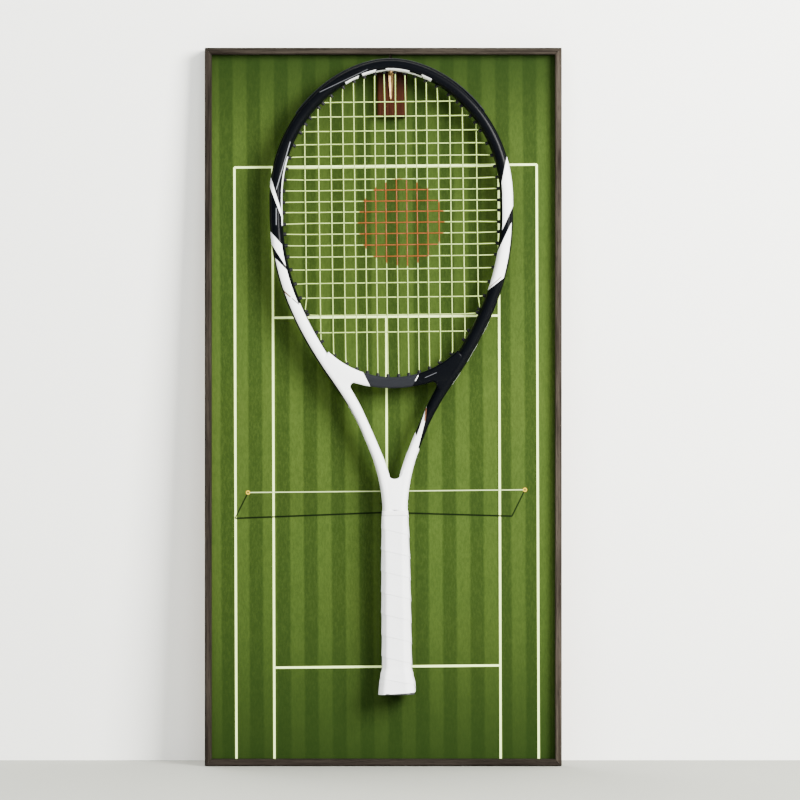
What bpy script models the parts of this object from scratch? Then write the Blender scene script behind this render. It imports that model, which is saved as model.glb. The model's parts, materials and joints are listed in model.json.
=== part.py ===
"""A wall rack that shows one tennis racket in front of a printed grass court.

The rack is a shallow tray: four mitred, rebated wooden rails round a backing board that carries
the print. A wooden block in front of the print bears a brass hook plate and a round pin, and the
racket hangs on that pin by the inside of its hoop, between the two middle main strings.

Units are metres. X runs to the viewer's right, Y into the wall, and Z up. The origin is the middle
of the top rail's rear face, which lies on the wall.
"""

import math

import bmesh
import bpy
from mathutils import Matrix, Vector
from mathutils.geometry import interpolate_bezier

MM = 0.001
GAP = 0.3 * MM

# The frame
FRAME_WIDTH = 386.4 * MM
FRAME_HEIGHT = 777.2 * MM
FRAME_DEPTH = 24 * MM
RAIL_FACE = 7.2 * MM
RAIL_CHAMFER = 0.7 * MM
INNER_CHAMFER = 1.0 * MM
REBATE_WALL = 3.2 * MM
MITRE_SETBACK = 0.2 * MM
Z_TOP = REBATE_WALL / 2
Z_MIDDLE = Z_TOP - FRAME_HEIGHT / 2

# The layers behind the racket, from the wall forwards
REAR_RECESS = 5 * MM
BOARD_THICKNESS = 6 * MM
PRINT_THICKNESS = 0.7 * MM
Y_BOARD_BACK = -REAR_RECESS
Y_BOARD_FRONT = Y_BOARD_BACK - BOARD_THICKNESS
Y_PRINT_FRONT = Y_BOARD_FRONT - GAP - PRINT_THICKNESS
Y_SHOULDER = Y_PRINT_FRONT - GAP

# The holder
BLOCK_SIZE = (32 * MM, 12 * MM, 58 * MM)
BLOCK_X = 9.6 * MM
BLOCK_TOP = -15.7 * MM
BLOCK_BEVEL = 1.6 * MM
PLATE_THICKNESS = 1.6 * MM
PLATE_TOP = -5 * MM
PLATE_BOTTOM = -54.6 * MM
PLATE_LEAN = math.radians(1.0)
PLATE_SCREW_Z = -19.2 * MM
PIN_X = 8.1 * MM
PIN_Z = -26.5 * MM
PIN_RADIUS = 1.7 * MM
PIN_FLANGE = 2.6 * MM
SPIGOT_RADIUS = 1.5 * MM
Y_BLOCK_BACK = Y_PRINT_FRONT - GAP
Y_BLOCK_FRONT = Y_BLOCK_BACK - BLOCK_SIZE[1]
Y_PLATE_FRONT = Y_BLOCK_FRONT - GAP - PLATE_THICKNESS
BLOCK_SCREW_Z = (-42 * MM, -64 * MM)

# The racket, from the top of its hoop downwards
RACKET_LENGTH = 685.8 * MM
RACKET_LEAN = math.radians(-0.7)
RACKET_ASIDE = -1.2 * MM
WALL_HALF = 6.6 * MM
GUARD_REACH = 7.6 * MM
BEAM_HALF = 12 * MM
TOP_SCALE = 0.93
SIDE_SCALE = 1.06
ARM_SCALE = 0.87
NECK_SCALES = (SIDE_SCALE, 0.91, 0.80, ARM_SCALE)
SHAFT_SCALE = 1.08
PIN_BELOW_TOP = 2 * WALL_HALF * TOP_SCALE + GAP + PIN_RADIUS
BUTT_BELOW_TOP = RACKET_LENGTH - (GUARD_REACH - WALL_HALF) * TOP_SCALE
Y_RACKET = Y_PLATE_FRONT - GAP - BEAM_HALF * TOP_SCALE
GROOVE_FLOOR = 3.0 * MM
GROOVE_HALF = 3.4 * MM
STRIP_WALL = 0.9 * MM
STRIP_FLOOR = 0.8 * MM
STRIP_TOP = 5.7 * MM
THROAT_RADIUS = 100 * MM
THROAT_CENTRE = -242.7 * MM
BRIDGE_UNDERSIDE_RADIUS = 143 * MM
BRIDGE_UNDERSIDE = -354.7 * MM
BRIDGE_HALF_ANGLE = math.radians(50)
BRIDGE_DEPTH = 23 * MM
BRIDGE_GROOVE = 2.4 * MM
WEB_DEPTH = 22 * MM

# The string bed
STRING_RADIUS = 0.65 * MM
STRING_LIFT = 5.2 * MM
BRIDGE_LIFT = 1.35 * MM
WEAVE = 0.85 * MM
PORT_RADIUS = 1.6 * MM
PORT_SPACING = 5.0 * MM
ASIDE_IN_PORT = 0.5 * MM
ASIDE_IN_GROOVE = 1.2 * MM
BRIDGE_PORTS = 45 * MM
MAINS_FROM_MIDDLE = (5.8, 16.7, 27.9, 39.2, 51.3, 64.3, 77.8, 92.6)
CROSSES_BELOW_TOP = (45.7, 61.3, 76.9, 90.9, 104.0, 116.6, 129.0, 140.8, 152.7, 164.1)
CROSSES_BELOW_TOP += (175.9, 187.8, 200.0, 212.3, 226.0, 240.8, 256.5, 275.4, 294.0)

# The handle: distance below the hoop's top, half width, half depth and facet of each ring
GRIP_WALL = 1.5 * MM
GRIP_RINGS = (
    (492.0, 14.2, 13.8, 3.2),
    (515.0, 15.0, 13.9, 4.4),
    (545.0, 15.9, 14.0, 5.0),
    (600.0, 16.3, 14.1, 5.2),
    (656.0, 16.5, 14.3, 5.2),
    (664.0, 18.0, 15.8, 5.4),
    (672.0, 19.4, 17.1, 5.6),
    (683.0, 19.8, 17.6, 5.6),
)
COLLAR_RING = (486.6, 14.0, 13.7, 3.4)
COLLAR_WALL = 0.7 * MM
PALLET_TOP = 520.0
PALLET_BOTTOM = 676.0
LEG_END = -668 * MM
LEG_SLOT = (20.0 * MM, 18.6 * MM)
PLUG_SIZE = (11, 8, 4.5)
PLUG_RECESS = 2.2

DRILL_TURN = Matrix.Rotation(math.radians(13), 4, "Z")
TO_FRONT = Matrix.Rotation(math.radians(90), 4, "X")


def clear_scene():
    for obj in list(bpy.data.objects):
        bpy.data.objects.remove(obj)


def collection(name):
    made = bpy.data.collections.new(name)
    bpy.context.scene.collection.children.link(made)
    return made


clear_scene()
PARTS = collection("wall_racket_rack")
CUTTERS = collection("cutters")
CUTTERS.hide_render = True


def finish(name, colour, roughness, metallic=0.0):
    material = bpy.data.materials.new(name)
    material.use_nodes = True
    shader = material.node_tree.nodes["Principled BSDF"]
    shader.inputs["Base Color"].default_value = (*colour, 1)
    shader.inputs["Roughness"].default_value = roughness
    shader.inputs["Metallic"].default_value = metallic
    return material


def as_part(obj, name, material, parent=None):
    """Names an object, gives it its finish and puts it among the rack's parts."""
    for group in list(obj.users_collection):
        group.objects.unlink(obj)
    PARTS.objects.link(obj)
    obj.name = name
    obj.data.name = name
    obj.data.materials.clear()
    obj.data.materials.append(material)
    obj.parent = parent
    return obj


def as_cutter(obj, name):
    for group in list(obj.users_collection):
        group.objects.unlink(obj)
    CUTTERS.objects.link(obj)
    obj.name = name
    obj.hide_render = True
    obj.display_type = "WIRE"
    return obj


def smooth(obj, angle=35):
    obj.data.shade_smooth()
    obj.data.set_sharp_from_angle(angle=math.radians(angle))
    return obj


def object_of(mesh_data):
    obj = bpy.data.objects.new("piece", mesh_data)
    bpy.context.scene.collection.objects.link(obj)
    return obj


def mesh_of(bm):
    mesh_data = bpy.data.meshes.new("piece")
    bm.to_mesh(mesh_data)
    bm.free()
    return object_of(mesh_data)


def solid_from(source):
    """A welded mesh object of a curve or of a mesh with modifiers. The source is removed."""
    bpy.context.view_layer.update()
    graph = bpy.context.evaluated_depsgraph_get()
    mesh_data = bpy.data.meshes.new_from_object(source.evaluated_get(graph))
    bm = bmesh.new()
    bm.from_mesh(mesh_data)
    bmesh.ops.remove_doubles(bm, verts=bm.verts, dist=1e-6)
    bmesh.ops.recalc_face_normals(bm, faces=bm.faces)
    bm.to_mesh(mesh_data)
    bm.free()
    mesh_data.materials.clear()
    made = object_of(mesh_data)
    made.matrix_world = source.matrix_world
    bpy.data.objects.remove(source)
    return made


def moved(obj, matrix):
    """Turns and moves the object's own mesh, and leaves the object at the origin."""
    obj.data.transform(matrix @ obj.matrix_world)
    obj.matrix_world = Matrix.Identity(4)
    return obj


def box(size, centre):
    bm = bmesh.new()
    bmesh.ops.create_cube(bm, size=1, matrix=Matrix.Translation(centre) @ Matrix.Diagonal((*size, 1)))
    return mesh_of(bm)


def flat(outlines, thickness):
    """Outlines in XY, the later ones being holes, as a plate that is centred on the XY plane."""
    curve = bpy.data.curves.new("outline", "CURVE")
    curve.dimensions = "2D"
    curve.fill_mode = "BOTH"
    curve.extrude = thickness / 2
    for outline in outlines:
        spline = curve.splines.new("POLY")
        spline.points.add(len(outline) - 1)
        for point, (x, y) in zip(spline.points, outline):
            point.co = (x, y, 0, 1)
        spline.use_cyclic_u = True
    return solid_from(object_of(curve))


def turned(profile, steps=14):
    """A profile of (radius, height) points, from the top down its outer side, turned about Z."""
    mesh_data = bpy.data.meshes.new("profile")
    edges = [(i, i + 1) for i in range(len(profile) - 1)]
    mesh_data.from_pydata([(radius, 0, height) for radius, height in profile], edges, [])
    obj = object_of(mesh_data)
    screw = obj.modifiers.new("turn", "SCREW")
    screw.steps = steps
    screw.render_steps = steps
    screw.use_merge_vertices = True
    screw.merge_threshold = 1e-6
    return solid_from(obj)


def tube(points, radius, cyclic=False, resolution=0):
    """A round wire or string through the points, with filled ends."""
    curve = bpy.data.curves.new("route", "CURVE")
    curve.dimensions = "3D"
    curve.bevel_depth = radius
    curve.bevel_resolution = resolution
    curve.use_fill_caps = True
    spline = curve.splines.new("POLY")
    spline.points.add(len(points) - 1)
    for point, place in zip(spline.points, points):
        point.co = (*place, 1)
    spline.use_cyclic_u = cyclic
    return solid_from(object_of(curve))


def apply(target, tool, operation):
    """A Boolean between two meshes, kept on the target as a modifier."""
    modifier = target.modifiers.new(operation.lower(), "BOOLEAN")
    modifier.operation = operation
    modifier.solver = "EXACT"
    modifier.object = tool


def bevelled(obj, width, segments=2, angle=40):
    modifier = obj.modifiers.new("round_edges", "BEVEL")
    modifier.width = width
    modifier.segments = segments
    modifier.limit_method = "ANGLE"
    modifier.angle_limit = math.radians(angle)
    return obj


def arc(centre, radius, start, stop, count):
    """Points on a circle, from one angle to another, in radians from +X."""
    return [
        (
            centre[0] + radius * math.cos(start + (stop - start) * i / count),
            centre[1] + radius * math.sin(start + (stop - start) * i / count),
        )
        for i in range(count + 1)
    ]


def screw_profile(head_radius, head_height, shank_radius, length, grow=0.0):
    """A countersunk screw from its head's face, at height 0, down to its point."""
    mouth = [(0, 5 * MM), (head_radius + grow, 5 * MM)] if grow else [(0, 0)]
    return mouth + [
        (head_radius + grow, 0),
        (head_radius + grow, -0.3 * MM - grow),
        (shank_radius + grow, -head_height - grow),
        (shank_radius + grow, -length + 2 * MM),
        (0.3 * shank_radius + grow, -length - grow),
        (0, -length - grow),
    ]


# Finishes of the plain solids
DARK_WOOD = finish("dark_wood", (0.075, 0.065, 0.05), 0.55)
PRINT = finish("court_print", (0.09, 0.15, 0.03), 0.5)
BOARD = finish("board", (0.36, 0.25, 0.15), 0.8)
BLOCK_WOOD = finish("block_wood", (0.16, 0.05, 0.03), 0.45)
BRASS = finish("brass", (0.72, 0.5, 0.2), 0.25, 1.0)
STEEL = finish("zinc_steel", (0.6, 0.6, 0.62), 0.35, 1.0)
LACQUER = finish("lacquer", (0.02, 0.025, 0.035), 0.2)
NYLON = finish("nylon", (0.03, 0.03, 0.03), 0.5)
STRING = finish("string", (0.8, 0.84, 0.6), 0.35)
FOAM = finish("foam", (0.3, 0.3, 0.28), 0.8)
GRIP = finish("grip", (0.85, 0.85, 0.84), 0.7)
CAP = finish("cap", (0.8, 0.8, 0.79), 0.5)


def rail(name, length, place):
    """One mitred rail. Its outer face is at Y 0 and its rear face at Z 0 before it is placed."""
    front = FRAME_DEPTH
    shoulder = -Y_SHOULDER
    section = [
        (0, 0),
        (0, front - RAIL_CHAMFER),
        (RAIL_CHAMFER, front),
        (RAIL_FACE - INNER_CHAMFER, front),
        (RAIL_FACE, front - INNER_CHAMFER),
        (RAIL_FACE, shoulder),
        (REBATE_WALL, shoulder),
        (REBATE_WALL, 0),
    ]
    obj = flat([section], length - 2 * MITRE_SETBACK)
    for vertex in obj.data.vertices:
        inward = vertex.co.x
        vertex.co.z -= math.copysign(inward, vertex.co.z)
    along_x = Matrix(((0, 0, 1, 0), (-1, 0, 0, 0), (0, -1, 0, 0), (0, 0, 0, 1)))
    turned_to_frame = Matrix(((1, 0, 0, 0), (0, 0, 1, 0), (0, 1, 0, 0), (0, 0, 0, 1))) @ along_x
    moved(obj, place @ turned_to_frame)
    return as_part(obj, name, DARK_WOOD)


def rails():
    """The four rails, as turns of one rail about the middle of the frame."""
    middle = Matrix.Translation((0, 0, Z_MIDDLE))
    made = {}
    for name, length, across, quarter in (
        ("rail_top", FRAME_WIDTH, FRAME_HEIGHT, 0),
        ("rail_right", FRAME_HEIGHT, FRAME_WIDTH, 1),
        ("rail_bottom", FRAME_WIDTH, FRAME_HEIGHT, 2),
        ("rail_left", FRAME_HEIGHT, FRAME_WIDTH, 3),
    ):
        turn = Matrix.Rotation(math.radians(90 * quarter), 4, "Y")
        made[name] = rail(name, length, middle @ turn @ Matrix.Translation((0, 0, across / 2)))
    return made


def corner_brads(made):
    """A headed brad down through each mitre, from the top or bottom rail into the side rail."""
    length = 16 * MM
    radius = 0.6 * MM
    head = 1.1 * MM
    y_brad = (Y_SHOULDER - FRAME_DEPTH) / 2
    for side, x in (("left", -1), ("right", 1)):
        for end, z in (("top", 1), ("bottom", -1)):
            face = Z_MIDDLE + z * FRAME_HEIGHT / 2
            place = Matrix.Translation((x * (FRAME_WIDTH / 2 - RAIL_FACE / 2), y_brad, face))
            if z < 0:
                place = place @ Matrix.Rotation(math.pi, 4, "X")
            profile = [(0, -GAP), (head, -GAP), (head, -2 * GAP), (radius, -1.1 * MM)]
            profile += [(radius, -length + 1 * MM), (0, -length)]
            brad = moved(turned(profile, 8), place)
            as_part(smooth(brad), f"corner_brad_{end}_{side}", STEEL)
            wide = [(0, 2 * MM), (head + GAP, 2 * MM), (head + GAP, -2 * GAP - GAP)]
            wide += [(radius + GAP, -1.1 * MM - GAP), (radius + GAP, -length - GAP), (0, -length - GAP)]
            cutter = as_cutter(moved(turned(wide, 8), place), f"brad_hole_{end}_{side}")
            apply(made[f"rail_{end}"], cutter, "DIFFERENCE")
            apply(made[f"rail_{side}"], cutter, "DIFFERENCE")


def board_and_print():
    """The backing board with the print on it, inside the rebate and against its shoulder."""
    width = FRAME_WIDTH - 2 * (REBATE_WALL + GAP)
    height = FRAME_HEIGHT - 2 * (REBATE_WALL + GAP)
    y_board = (Y_BOARD_BACK + Y_BOARD_FRONT) / 2
    board = box((width, BOARD_THICKNESS, height), (0, y_board, Z_MIDDLE))
    y_print = Y_PRINT_FRONT + PRINT_THICKNESS / 2
    sheet = box((width, PRINT_THICKNESS, height), (0, y_print, Z_MIDDLE))
    return as_part(board, "backing_board", BOARD), as_part(sheet, "court_print", PRINT)


def framing_points(made):
    """Flat steel points, pushed into the rebate's wall behind the board to hold it in."""
    thickness = 0.5 * MM
    bite = 2.0 * MM
    stick_out = 7.0 * MM
    half = 3.5 * MM
    y = Y_BOARD_BACK + GAP + thickness / 2
    inner_x = FRAME_WIDTH / 2 - REBATE_WALL
    inner_z = FRAME_HEIGHT / 2 - REBATE_WALL

    def outline(grow):
        tail = half * 0.55 + grow
        return [
            (bite + grow, 0),
            (0, half + grow),
            (-stick_out - grow, tail),
            (-stick_out - grow, -tail),
            (0, -half - grow),
        ]

    spots = [("right", inner_x, z, 0) for z in (-250 * MM, 0, 250 * MM)]
    spots += [("left", -inner_x, z, 180) for z in (-250 * MM, 0, 250 * MM)]
    spots += [("top", x, inner_z, -90) for x in (-70 * MM, 70 * MM)]
    spots += [("bottom", x, -inner_z, 90) for x in (-70 * MM, 70 * MM)]
    count = {}
    for side, x, z, degrees in spots:
        count[side] = count.get(side, 0) + 1
        name = f"framing_point_{side}_{count[side]}"
        spin = Matrix.Rotation(math.radians(degrees), 4, "Y")
        place = Matrix.Translation((x, y, Z_MIDDLE + z)) @ spin @ TO_FRONT
        point = moved(flat([outline(0)], thickness), place)
        as_part(point, name, STEEL)
        slot = moved(flat([outline(GAP)], thickness + 2 * GAP), place)
        apply(made[f"rail_{side}"], as_cutter(slot, f"slot_{name}"), "DIFFERENCE")


def hangers(board):
    """Two strap hangers with D rings, screwed to the back of the board."""
    strap_half = 4.5 * MM
    strap_thickness = 1.0 * MM
    wire = 0.9 * MM
    bar_out = 2.3 * MM
    knuckle = 2.0 * MM
    bore = 1.3 * MM
    strap_length = 31 * MM
    bar_z = -62 * MM
    y_face = Y_BOARD_BACK + GAP
    y_bar = y_face + bar_out
    from_behind = Matrix.Rotation(math.radians(-90), 4, "X")
    for side, x in (("left", -110 * MM), ("right", 110 * MM)):
        # The strap's side profile: a flat leaf whose top end is rolled into a knuckle
        leaf_back = bar_out - strap_thickness
        outline = [(-bar_out, -strap_length), (-leaf_back, -strap_length)]
        outline += arc((0, 0), knuckle, math.radians(-130), math.radians(160), 11)
        outline += [(-bar_out, -0.7 * MM)]
        eye = arc((0, 0), bore, math.radians(10), math.radians(325), 7)
        strap = flat([outline, eye], 2 * strap_half)
        place = Matrix.Translation((x, y_bar, bar_z))
        profile_to_side = Matrix(((0, 0, 1, 0), (1, 0, 0, 0), (0, 1, 0, 0), (0, 0, 0, 1)))
        moved(strap, place @ profile_to_side)
        as_part(strap, f"hanger_strap_{side}", STEEL)
        ring_half = 8.5 * MM
        ring_drop = 14 * MM
        bow = [
            (ring_half * math.cos(angle), 0, -ring_drop * math.sin(angle) ** 0.8)
            for angle in (math.pi * i / 12 for i in range(1, 12))
        ]
        loop = [(-ring_half, 0, 0), (ring_half, 0, 0)] + bow
        ring = tube(loop, wire, cyclic=True, resolution=1)
        ring.location = (x, y_bar, bar_z)
        as_part(smooth(ring, 60), f"hanger_ring_{side}", STEEL)
        for row, drop in (("upper", 19 * MM), ("lower", 26 * MM)):
            y_head = y_face + strap_thickness + GAP
            spot = Matrix.Translation((x, y_head, bar_z - drop)) @ from_behind
            profile = [(0, 0.9 * MM), (1.2 * MM, 0.8 * MM), (2.1 * MM, 0)]
            profile += [(1.1 * MM, 0), (1.1 * MM, -4.5 * MM), (0, -5.5 * MM)]
            screw = moved(turned(profile, 10), spot)
            as_part(smooth(screw), f"hanger_screw_{side}_{row}", STEEL)
            wide = [(0, 2 * MM), (1.4 * MM, 2 * MM), (1.4 * MM, -5.9 * MM), (0, -5.9 * MM)]
            hole = as_cutter(moved(turned(wide, 10), spot), f"hanger_hole_{side}_{row}")
            apply(strap, hole, "DIFFERENCE")
            apply(board, hole, "DIFFERENCE")


def holder(board, sheet):
    """The block on the print, its two screws from behind, and the hook plate on its face."""
    y_block = (Y_BLOCK_BACK + Y_BLOCK_FRONT) / 2
    block = box(BLOCK_SIZE, (BLOCK_X, y_block, BLOCK_TOP - BLOCK_SIZE[2] / 2))
    bevelled(block, BLOCK_BEVEL)
    as_part(block, "hook_block", BLOCK_WOOD)
    from_behind = Matrix.Rotation(math.radians(-90), 4, "X")
    size = (3.6 * MM, 2.6 * MM, 1.7 * MM, 15 * MM)
    for row, z in zip(("upper", "lower"), BLOCK_SCREW_Z):
        place = Matrix.Translation((BLOCK_X, Y_BOARD_BACK - GAP, z)) @ from_behind
        screw = moved(turned(screw_profile(*size)), place)
        as_part(smooth(screw), f"block_screw_{row}", STEEL)
        hole = moved(turned(screw_profile(*size, grow=GAP)), place)
        as_cutter(hole, f"block_screw_hole_{row}")
        for piece in (board, sheet, block):
            apply(piece, hole, "DIFFERENCE")

    def blade(half_top, half_pin, half_bottom):
        """The plate's outline: a strip that swells at the pin and tapers to a round foot."""
        lean = math.sin(PLATE_LEAN)
        top, bottom = PLATE_TOP - half_top, PLATE_BOTTOM + half_bottom
        centre_top = PIN_X - lean * (top - PIN_Z)
        centre_bottom = PIN_X - lean * (bottom - PIN_Z)
        upper = arc((centre_top, top), half_top, 0, math.pi, 6)
        lower = arc((centre_bottom, bottom), half_bottom, math.pi, 2 * math.pi, 6)
        return upper + [(PIN_X - half_pin, PIN_Z)] + lower + [(PIN_X + half_pin, PIN_Z)]

    plate = flat([blade(2.0 * MM, 3.0 * MM, 1.7 * MM)], PLATE_THICKNESS)
    moved(plate, Matrix.Translation((0, Y_PLATE_FRONT + PLATE_THICKNESS / 2, 0)) @ TO_FRONT)
    as_part(plate, "hook_plate", BRASS)

    from_front = Matrix.Rotation(math.radians(90), 4, "X")
    screw_x = PIN_X - math.sin(PLATE_LEAN) * (PLATE_SCREW_Z - PIN_Z)
    place = Matrix.Translation((screw_x, Y_PLATE_FRONT, PLATE_SCREW_Z)) @ from_front
    size = (1.8 * MM, 1.2 * MM, 0.9 * MM, 9 * MM)
    screw = moved(turned(screw_profile(*size), 12), place)
    as_part(smooth(screw), "plate_screw", BRASS)
    hole = as_cutter(moved(turned(screw_profile(*size, grow=GAP), 12), place), "plate_screw_hole")

    y_collar = Y_PLATE_FRONT - GAP
    pin_length = 24 * MM
    spigot = 9 * MM
    profile = [
        (0, pin_length),
        (0.55 * PIN_RADIUS, pin_length - 0.2 * MM),
        (0.87 * PIN_RADIUS, pin_length - 0.7 * MM),
        (PIN_RADIUS, pin_length - 1.4 * MM),
        (PIN_RADIUS, 0.7 * MM),
        (PIN_FLANGE, 0.6 * MM),
        (PIN_FLANGE, 0),
        (SPIGOT_RADIUS, 0),
        (SPIGOT_RADIUS, -spigot + 0.6 * MM),
        (SPIGOT_RADIUS - 0.5 * MM, -spigot),
        (0, -spigot),
    ]
    pin = turned(profile, 16)
    pin.rotation_euler = (math.radians(90), 0, 0)
    pin.location = (PIN_X, y_collar, PIN_Z)
    as_part(smooth(pin), "hook_pin", BRASS)
    wide = SPIGOT_RADIUS + GAP
    bore = turned([(0, 5 * MM), (wide, 5 * MM), (wide, -spigot - GAP), (0, -spigot - GAP)], 16)
    moved(bore, Matrix.Translation((PIN_X, y_collar, PIN_Z)) @ from_front)
    as_cutter(bore, "pin_bore")
    for piece in (plate, block):
        apply(piece, hole, "DIFFERENCE")
        apply(piece, bore, "DIFFERENCE")


def share_of(values, share):
    """Reads a run of evenly spaced values at a share of its length."""
    place = share * (len(values) - 1)
    index = min(int(place), len(values) - 2)
    return values[index] + (values[index + 1] - values[index]) * (place - index)


class Hairpin:
    """The middle line of the hoop's right half, from the top down one arm to the handle.

    It is a few Bezier stretches through the top, the side, the throat and the arm, read as
    stations. A place on it is a distance along it, and its normal points out of the hoop.
    """

    def __init__(self):
        def towards(point, degrees, reach):
            slope = math.radians(degrees)
            return (point[0] - reach * math.sin(slope), point[1] - reach * math.cos(slope))

        top = (0, -WALL_HALF * TOP_SCALE / MM)
        side = (124.3, -150.5)
        throat = (65.2, -337.0)
        arm = (19.0, -425.0)
        shaft = (6.2, -486.0)
        stretches = (
            (top, (52, top[1]), (side[0], side[1] + 90), side, (TOP_SCALE, SIDE_SCALE), 14),
            (side, (side[0], side[1] - 41), towards(throat, 34, -110), throat, (SIDE_SCALE,) * 2, 13),
            (throat, towards(throat, 34, 42), towards(arm, 22, -45), arm, NECK_SCALES, 7),
            (arm, towards(arm, 22, 24), (shaft[0], shaft[1] + 12), shaft, (ARM_SCALE, SHAFT_SCALE), 6),
        )
        self.points = []
        self.scales = []
        for *corners, scales, count in stretches:
            samples = interpolate_bezier(*[Vector((x, z)) for x, z in corners], count)
            skip = 1 if self.points else 0
            for i in range(skip, count):
                self.points.append(samples[i] * MM)
                self.scales.append(share_of(scales, i / (count - 1)))
        self.hoop_end = len(self.points)
        for x, z, scale in ((5.75, -492, 0.99), (5.3, -500, 0.9), (4.6, -515, 0.76), (4.2, -530, 0.7)):
            self.points.append(Vector((x, z)) * MM)
            self.scales.append(scale)
        self.points.append(Vector((4.2 * MM, LEG_END)))
        self.scales.append(0.7)
        self.distances = [0.0]
        for before, after in zip(self.points, self.points[1:]):
            self.distances.append(self.distances[-1] + (after - before).length)

    def normal(self, index):
        before = self.points[max(index - 1, 0)]
        after = self.points[min(index + 1, len(self.points) - 1)]
        run = (after - before).normalized()
        return Vector((0, 1)) if index == 0 else Vector((-run.y, run.x))

    def at(self, distance):
        """The point, outward normal and scale at a distance along the line."""
        index = 0
        while index < len(self.points) - 2 and self.distances[index + 1] < distance:
            index += 1
        span = self.distances[index + 1] - self.distances[index]
        share = min(max((distance - self.distances[index]) / span, 0), 1)
        point = self.points[index].lerp(self.points[index + 1], share)
        normal = self.normal(index).lerp(self.normal(index + 1), share).normalized()
        scale = self.scales[index] + (self.scales[index + 1] - self.scales[index]) * share
        return point, normal, scale

    def beside(self, distance, offset):
        """A point beside the middle line, outwards by the offset times the local scale."""
        point, normal, scale = self.at(distance)
        return point + normal * offset * scale

    def where(self, offset, measure, start, stop, steps=400):
        """The distance at which measure(beside point) changes sign between start and stop."""
        low = start
        first = measure(self.beside(start, offset)) > 0
        for i in range(1, steps + 1):
            high = start + (stop - start) * i / steps
            if (measure(self.beside(high, offset)) > 0) != first:
                return (low + high) / 2
            low = high
        raise ValueError("the string misses the hoop")

    def nearest(self, point, steps=500):
        """The distance of the place on the hoop that lies nearest a point."""
        last = self.distances[self.hoop_end - 1]
        tries = [last * i / steps for i in range(steps + 1)]
        return min(tries, key=lambda distance: (self.at(distance)[0] - point).length)


def section_loop(points):
    """A closed section as a curve object, for a sweep."""
    curve = bpy.data.curves.new("section", "CURVE")
    curve.dimensions = "2D"
    spline = curve.splines.new("POLY")
    spline.points.add(len(points) - 1)
    for point, (out, across) in zip(spline.points, points):
        point.co = (-out, across, 0, 1)
    spline.use_cyclic_u = True
    return object_of(curve)


def sweep(points, scales, section):
    """A section drawn along a flat path in XZ. Its X points out of the hoop, on the path's left."""
    guide = section_loop(section)
    curve = bpy.data.curves.new("path", "CURVE")
    curve.dimensions = "2D"
    curve.bevel_mode = "OBJECT"
    curve.bevel_object = guide
    curve.use_fill_caps = True
    spline = curve.splines.new("POLY")
    spline.points.add(len(points) - 1)
    for spot, place, scale in zip(spline.points, points, scales):
        spot.co = (place[0], place[1], 0, 1)
        spot.radius = scale
    made = solid_from(object_of(curve))
    bpy.data.objects.remove(guide)
    return moved(made, TO_FRONT)


HAIRPIN = Hairpin()


def stations(start, stop):
    """The hairpin's own stations between two distances, with both ends added."""
    ends = [(HAIRPIN.at(d)[0], HAIRPIN.at(d)[2]) for d in (start, stop)]
    between = [
        (point, scale)
        for point, scale, d in zip(HAIRPIN.points, HAIRPIN.scales, HAIRPIN.distances)
        if start + 1 * MM < d < stop - 1 * MM
    ]
    run = [ends[0]] + between + [ends[1]]
    return [point for point, _ in run], [scale for _, scale in run]


def both_sides(obj, name="halves"):
    """Mirrors a half across X, and cuts what crosses the middle so that the halves join."""
    mirror = obj.modifiers.new(name, "MIRROR")
    mirror.use_axis = (True, False, False)
    mirror.use_bisect_axis = (True, False, False)
    mirror.bisect_threshold = 1e-6
    mirror.use_mirror_merge = True
    mirror.merge_threshold = 2e-5
    return solid_from(obj)


def across_top(points, scales):
    """Starts a path a little past the middle plane, so that a mirrored half is cut cleanly there."""
    lead = Vector((-4 * MM, points[0].y))
    return [lead] + points, [scales[0]] + scales


def throat_arc_z(x):
    return THROAT_CENTRE - math.sqrt(THROAT_RADIUS**2 - x**2)


def underside_z(x):
    centre = BRIDGE_UNDERSIDE + BRIDGE_UNDERSIDE_RADIUS
    return centre - math.sqrt(BRIDGE_UNDERSIDE_RADIUS**2 - x**2)


class Port:
    """A hole through the hoop or the bridge for one end of one string.

    inner is where the string enters, turn is where it leaves the groove's floor, and distance is
    its place along the hairpin, or None for a hole that goes straight down through the bridge.
    """

    def __init__(self, inner, outer, distance):
        self.inner = inner
        self.outer = outer
        self.distance = distance

    def slide(self, way):
        self.distance += way
        self.inner = HAIRPIN.beside(self.distance, -WALL_HALF)
        self.outer = HAIRPIN.beside(self.distance, STRING_LIFT)

    def mirrored(self):
        flip = Vector((-1, 1))
        return Port(self.inner * flip, self.outer * flip, self.distance)


def hoop_port(inner):
    """A port square to the hoop, from a point on its inside."""
    distance = HAIRPIN.nearest(inner)
    return Port(inner, HAIRPIN.beside(distance, STRING_LIFT), distance)


SIDE_DISTANCE = HAIRPIN.where(0, lambda p: p.y + 151 * MM, 0, 0.3)
HOOP_LENGTH = HAIRPIN.distances[HAIRPIN.hoop_end - 1]


def main_ports(x):
    """The ports at the top and at the bottom of the main at x, on the right half."""
    top = HAIRPIN.beside(HAIRPIN.where(-WALL_HALF, lambda p: p.x - x, 0, SIDE_DISTANCE), -WALL_HALF)
    bottom_distance = HAIRPIN.where(-WALL_HALF, lambda p: p.x - x, SIDE_DISTANCE, HOOP_LENGTH)
    bottom = HAIRPIN.beside(bottom_distance, -WALL_HALF)
    on_arc = Vector((x, throat_arc_z(x)))
    if x < BRIDGE_PORTS:
        return hoop_port(top), Port(on_arc, Vector((x, underside_z(x) + BRIDGE_LIFT)), None)
    return hoop_port(top), hoop_port(on_arc if on_arc.y > bottom.y else bottom)


def cross_port(z):
    distance = HAIRPIN.where(-WALL_HALF, lambda p: p.y - z, 0.02, HOOP_LENGTH)
    return hoop_port(HAIRPIN.beside(distance, -WALL_HALF))


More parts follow.
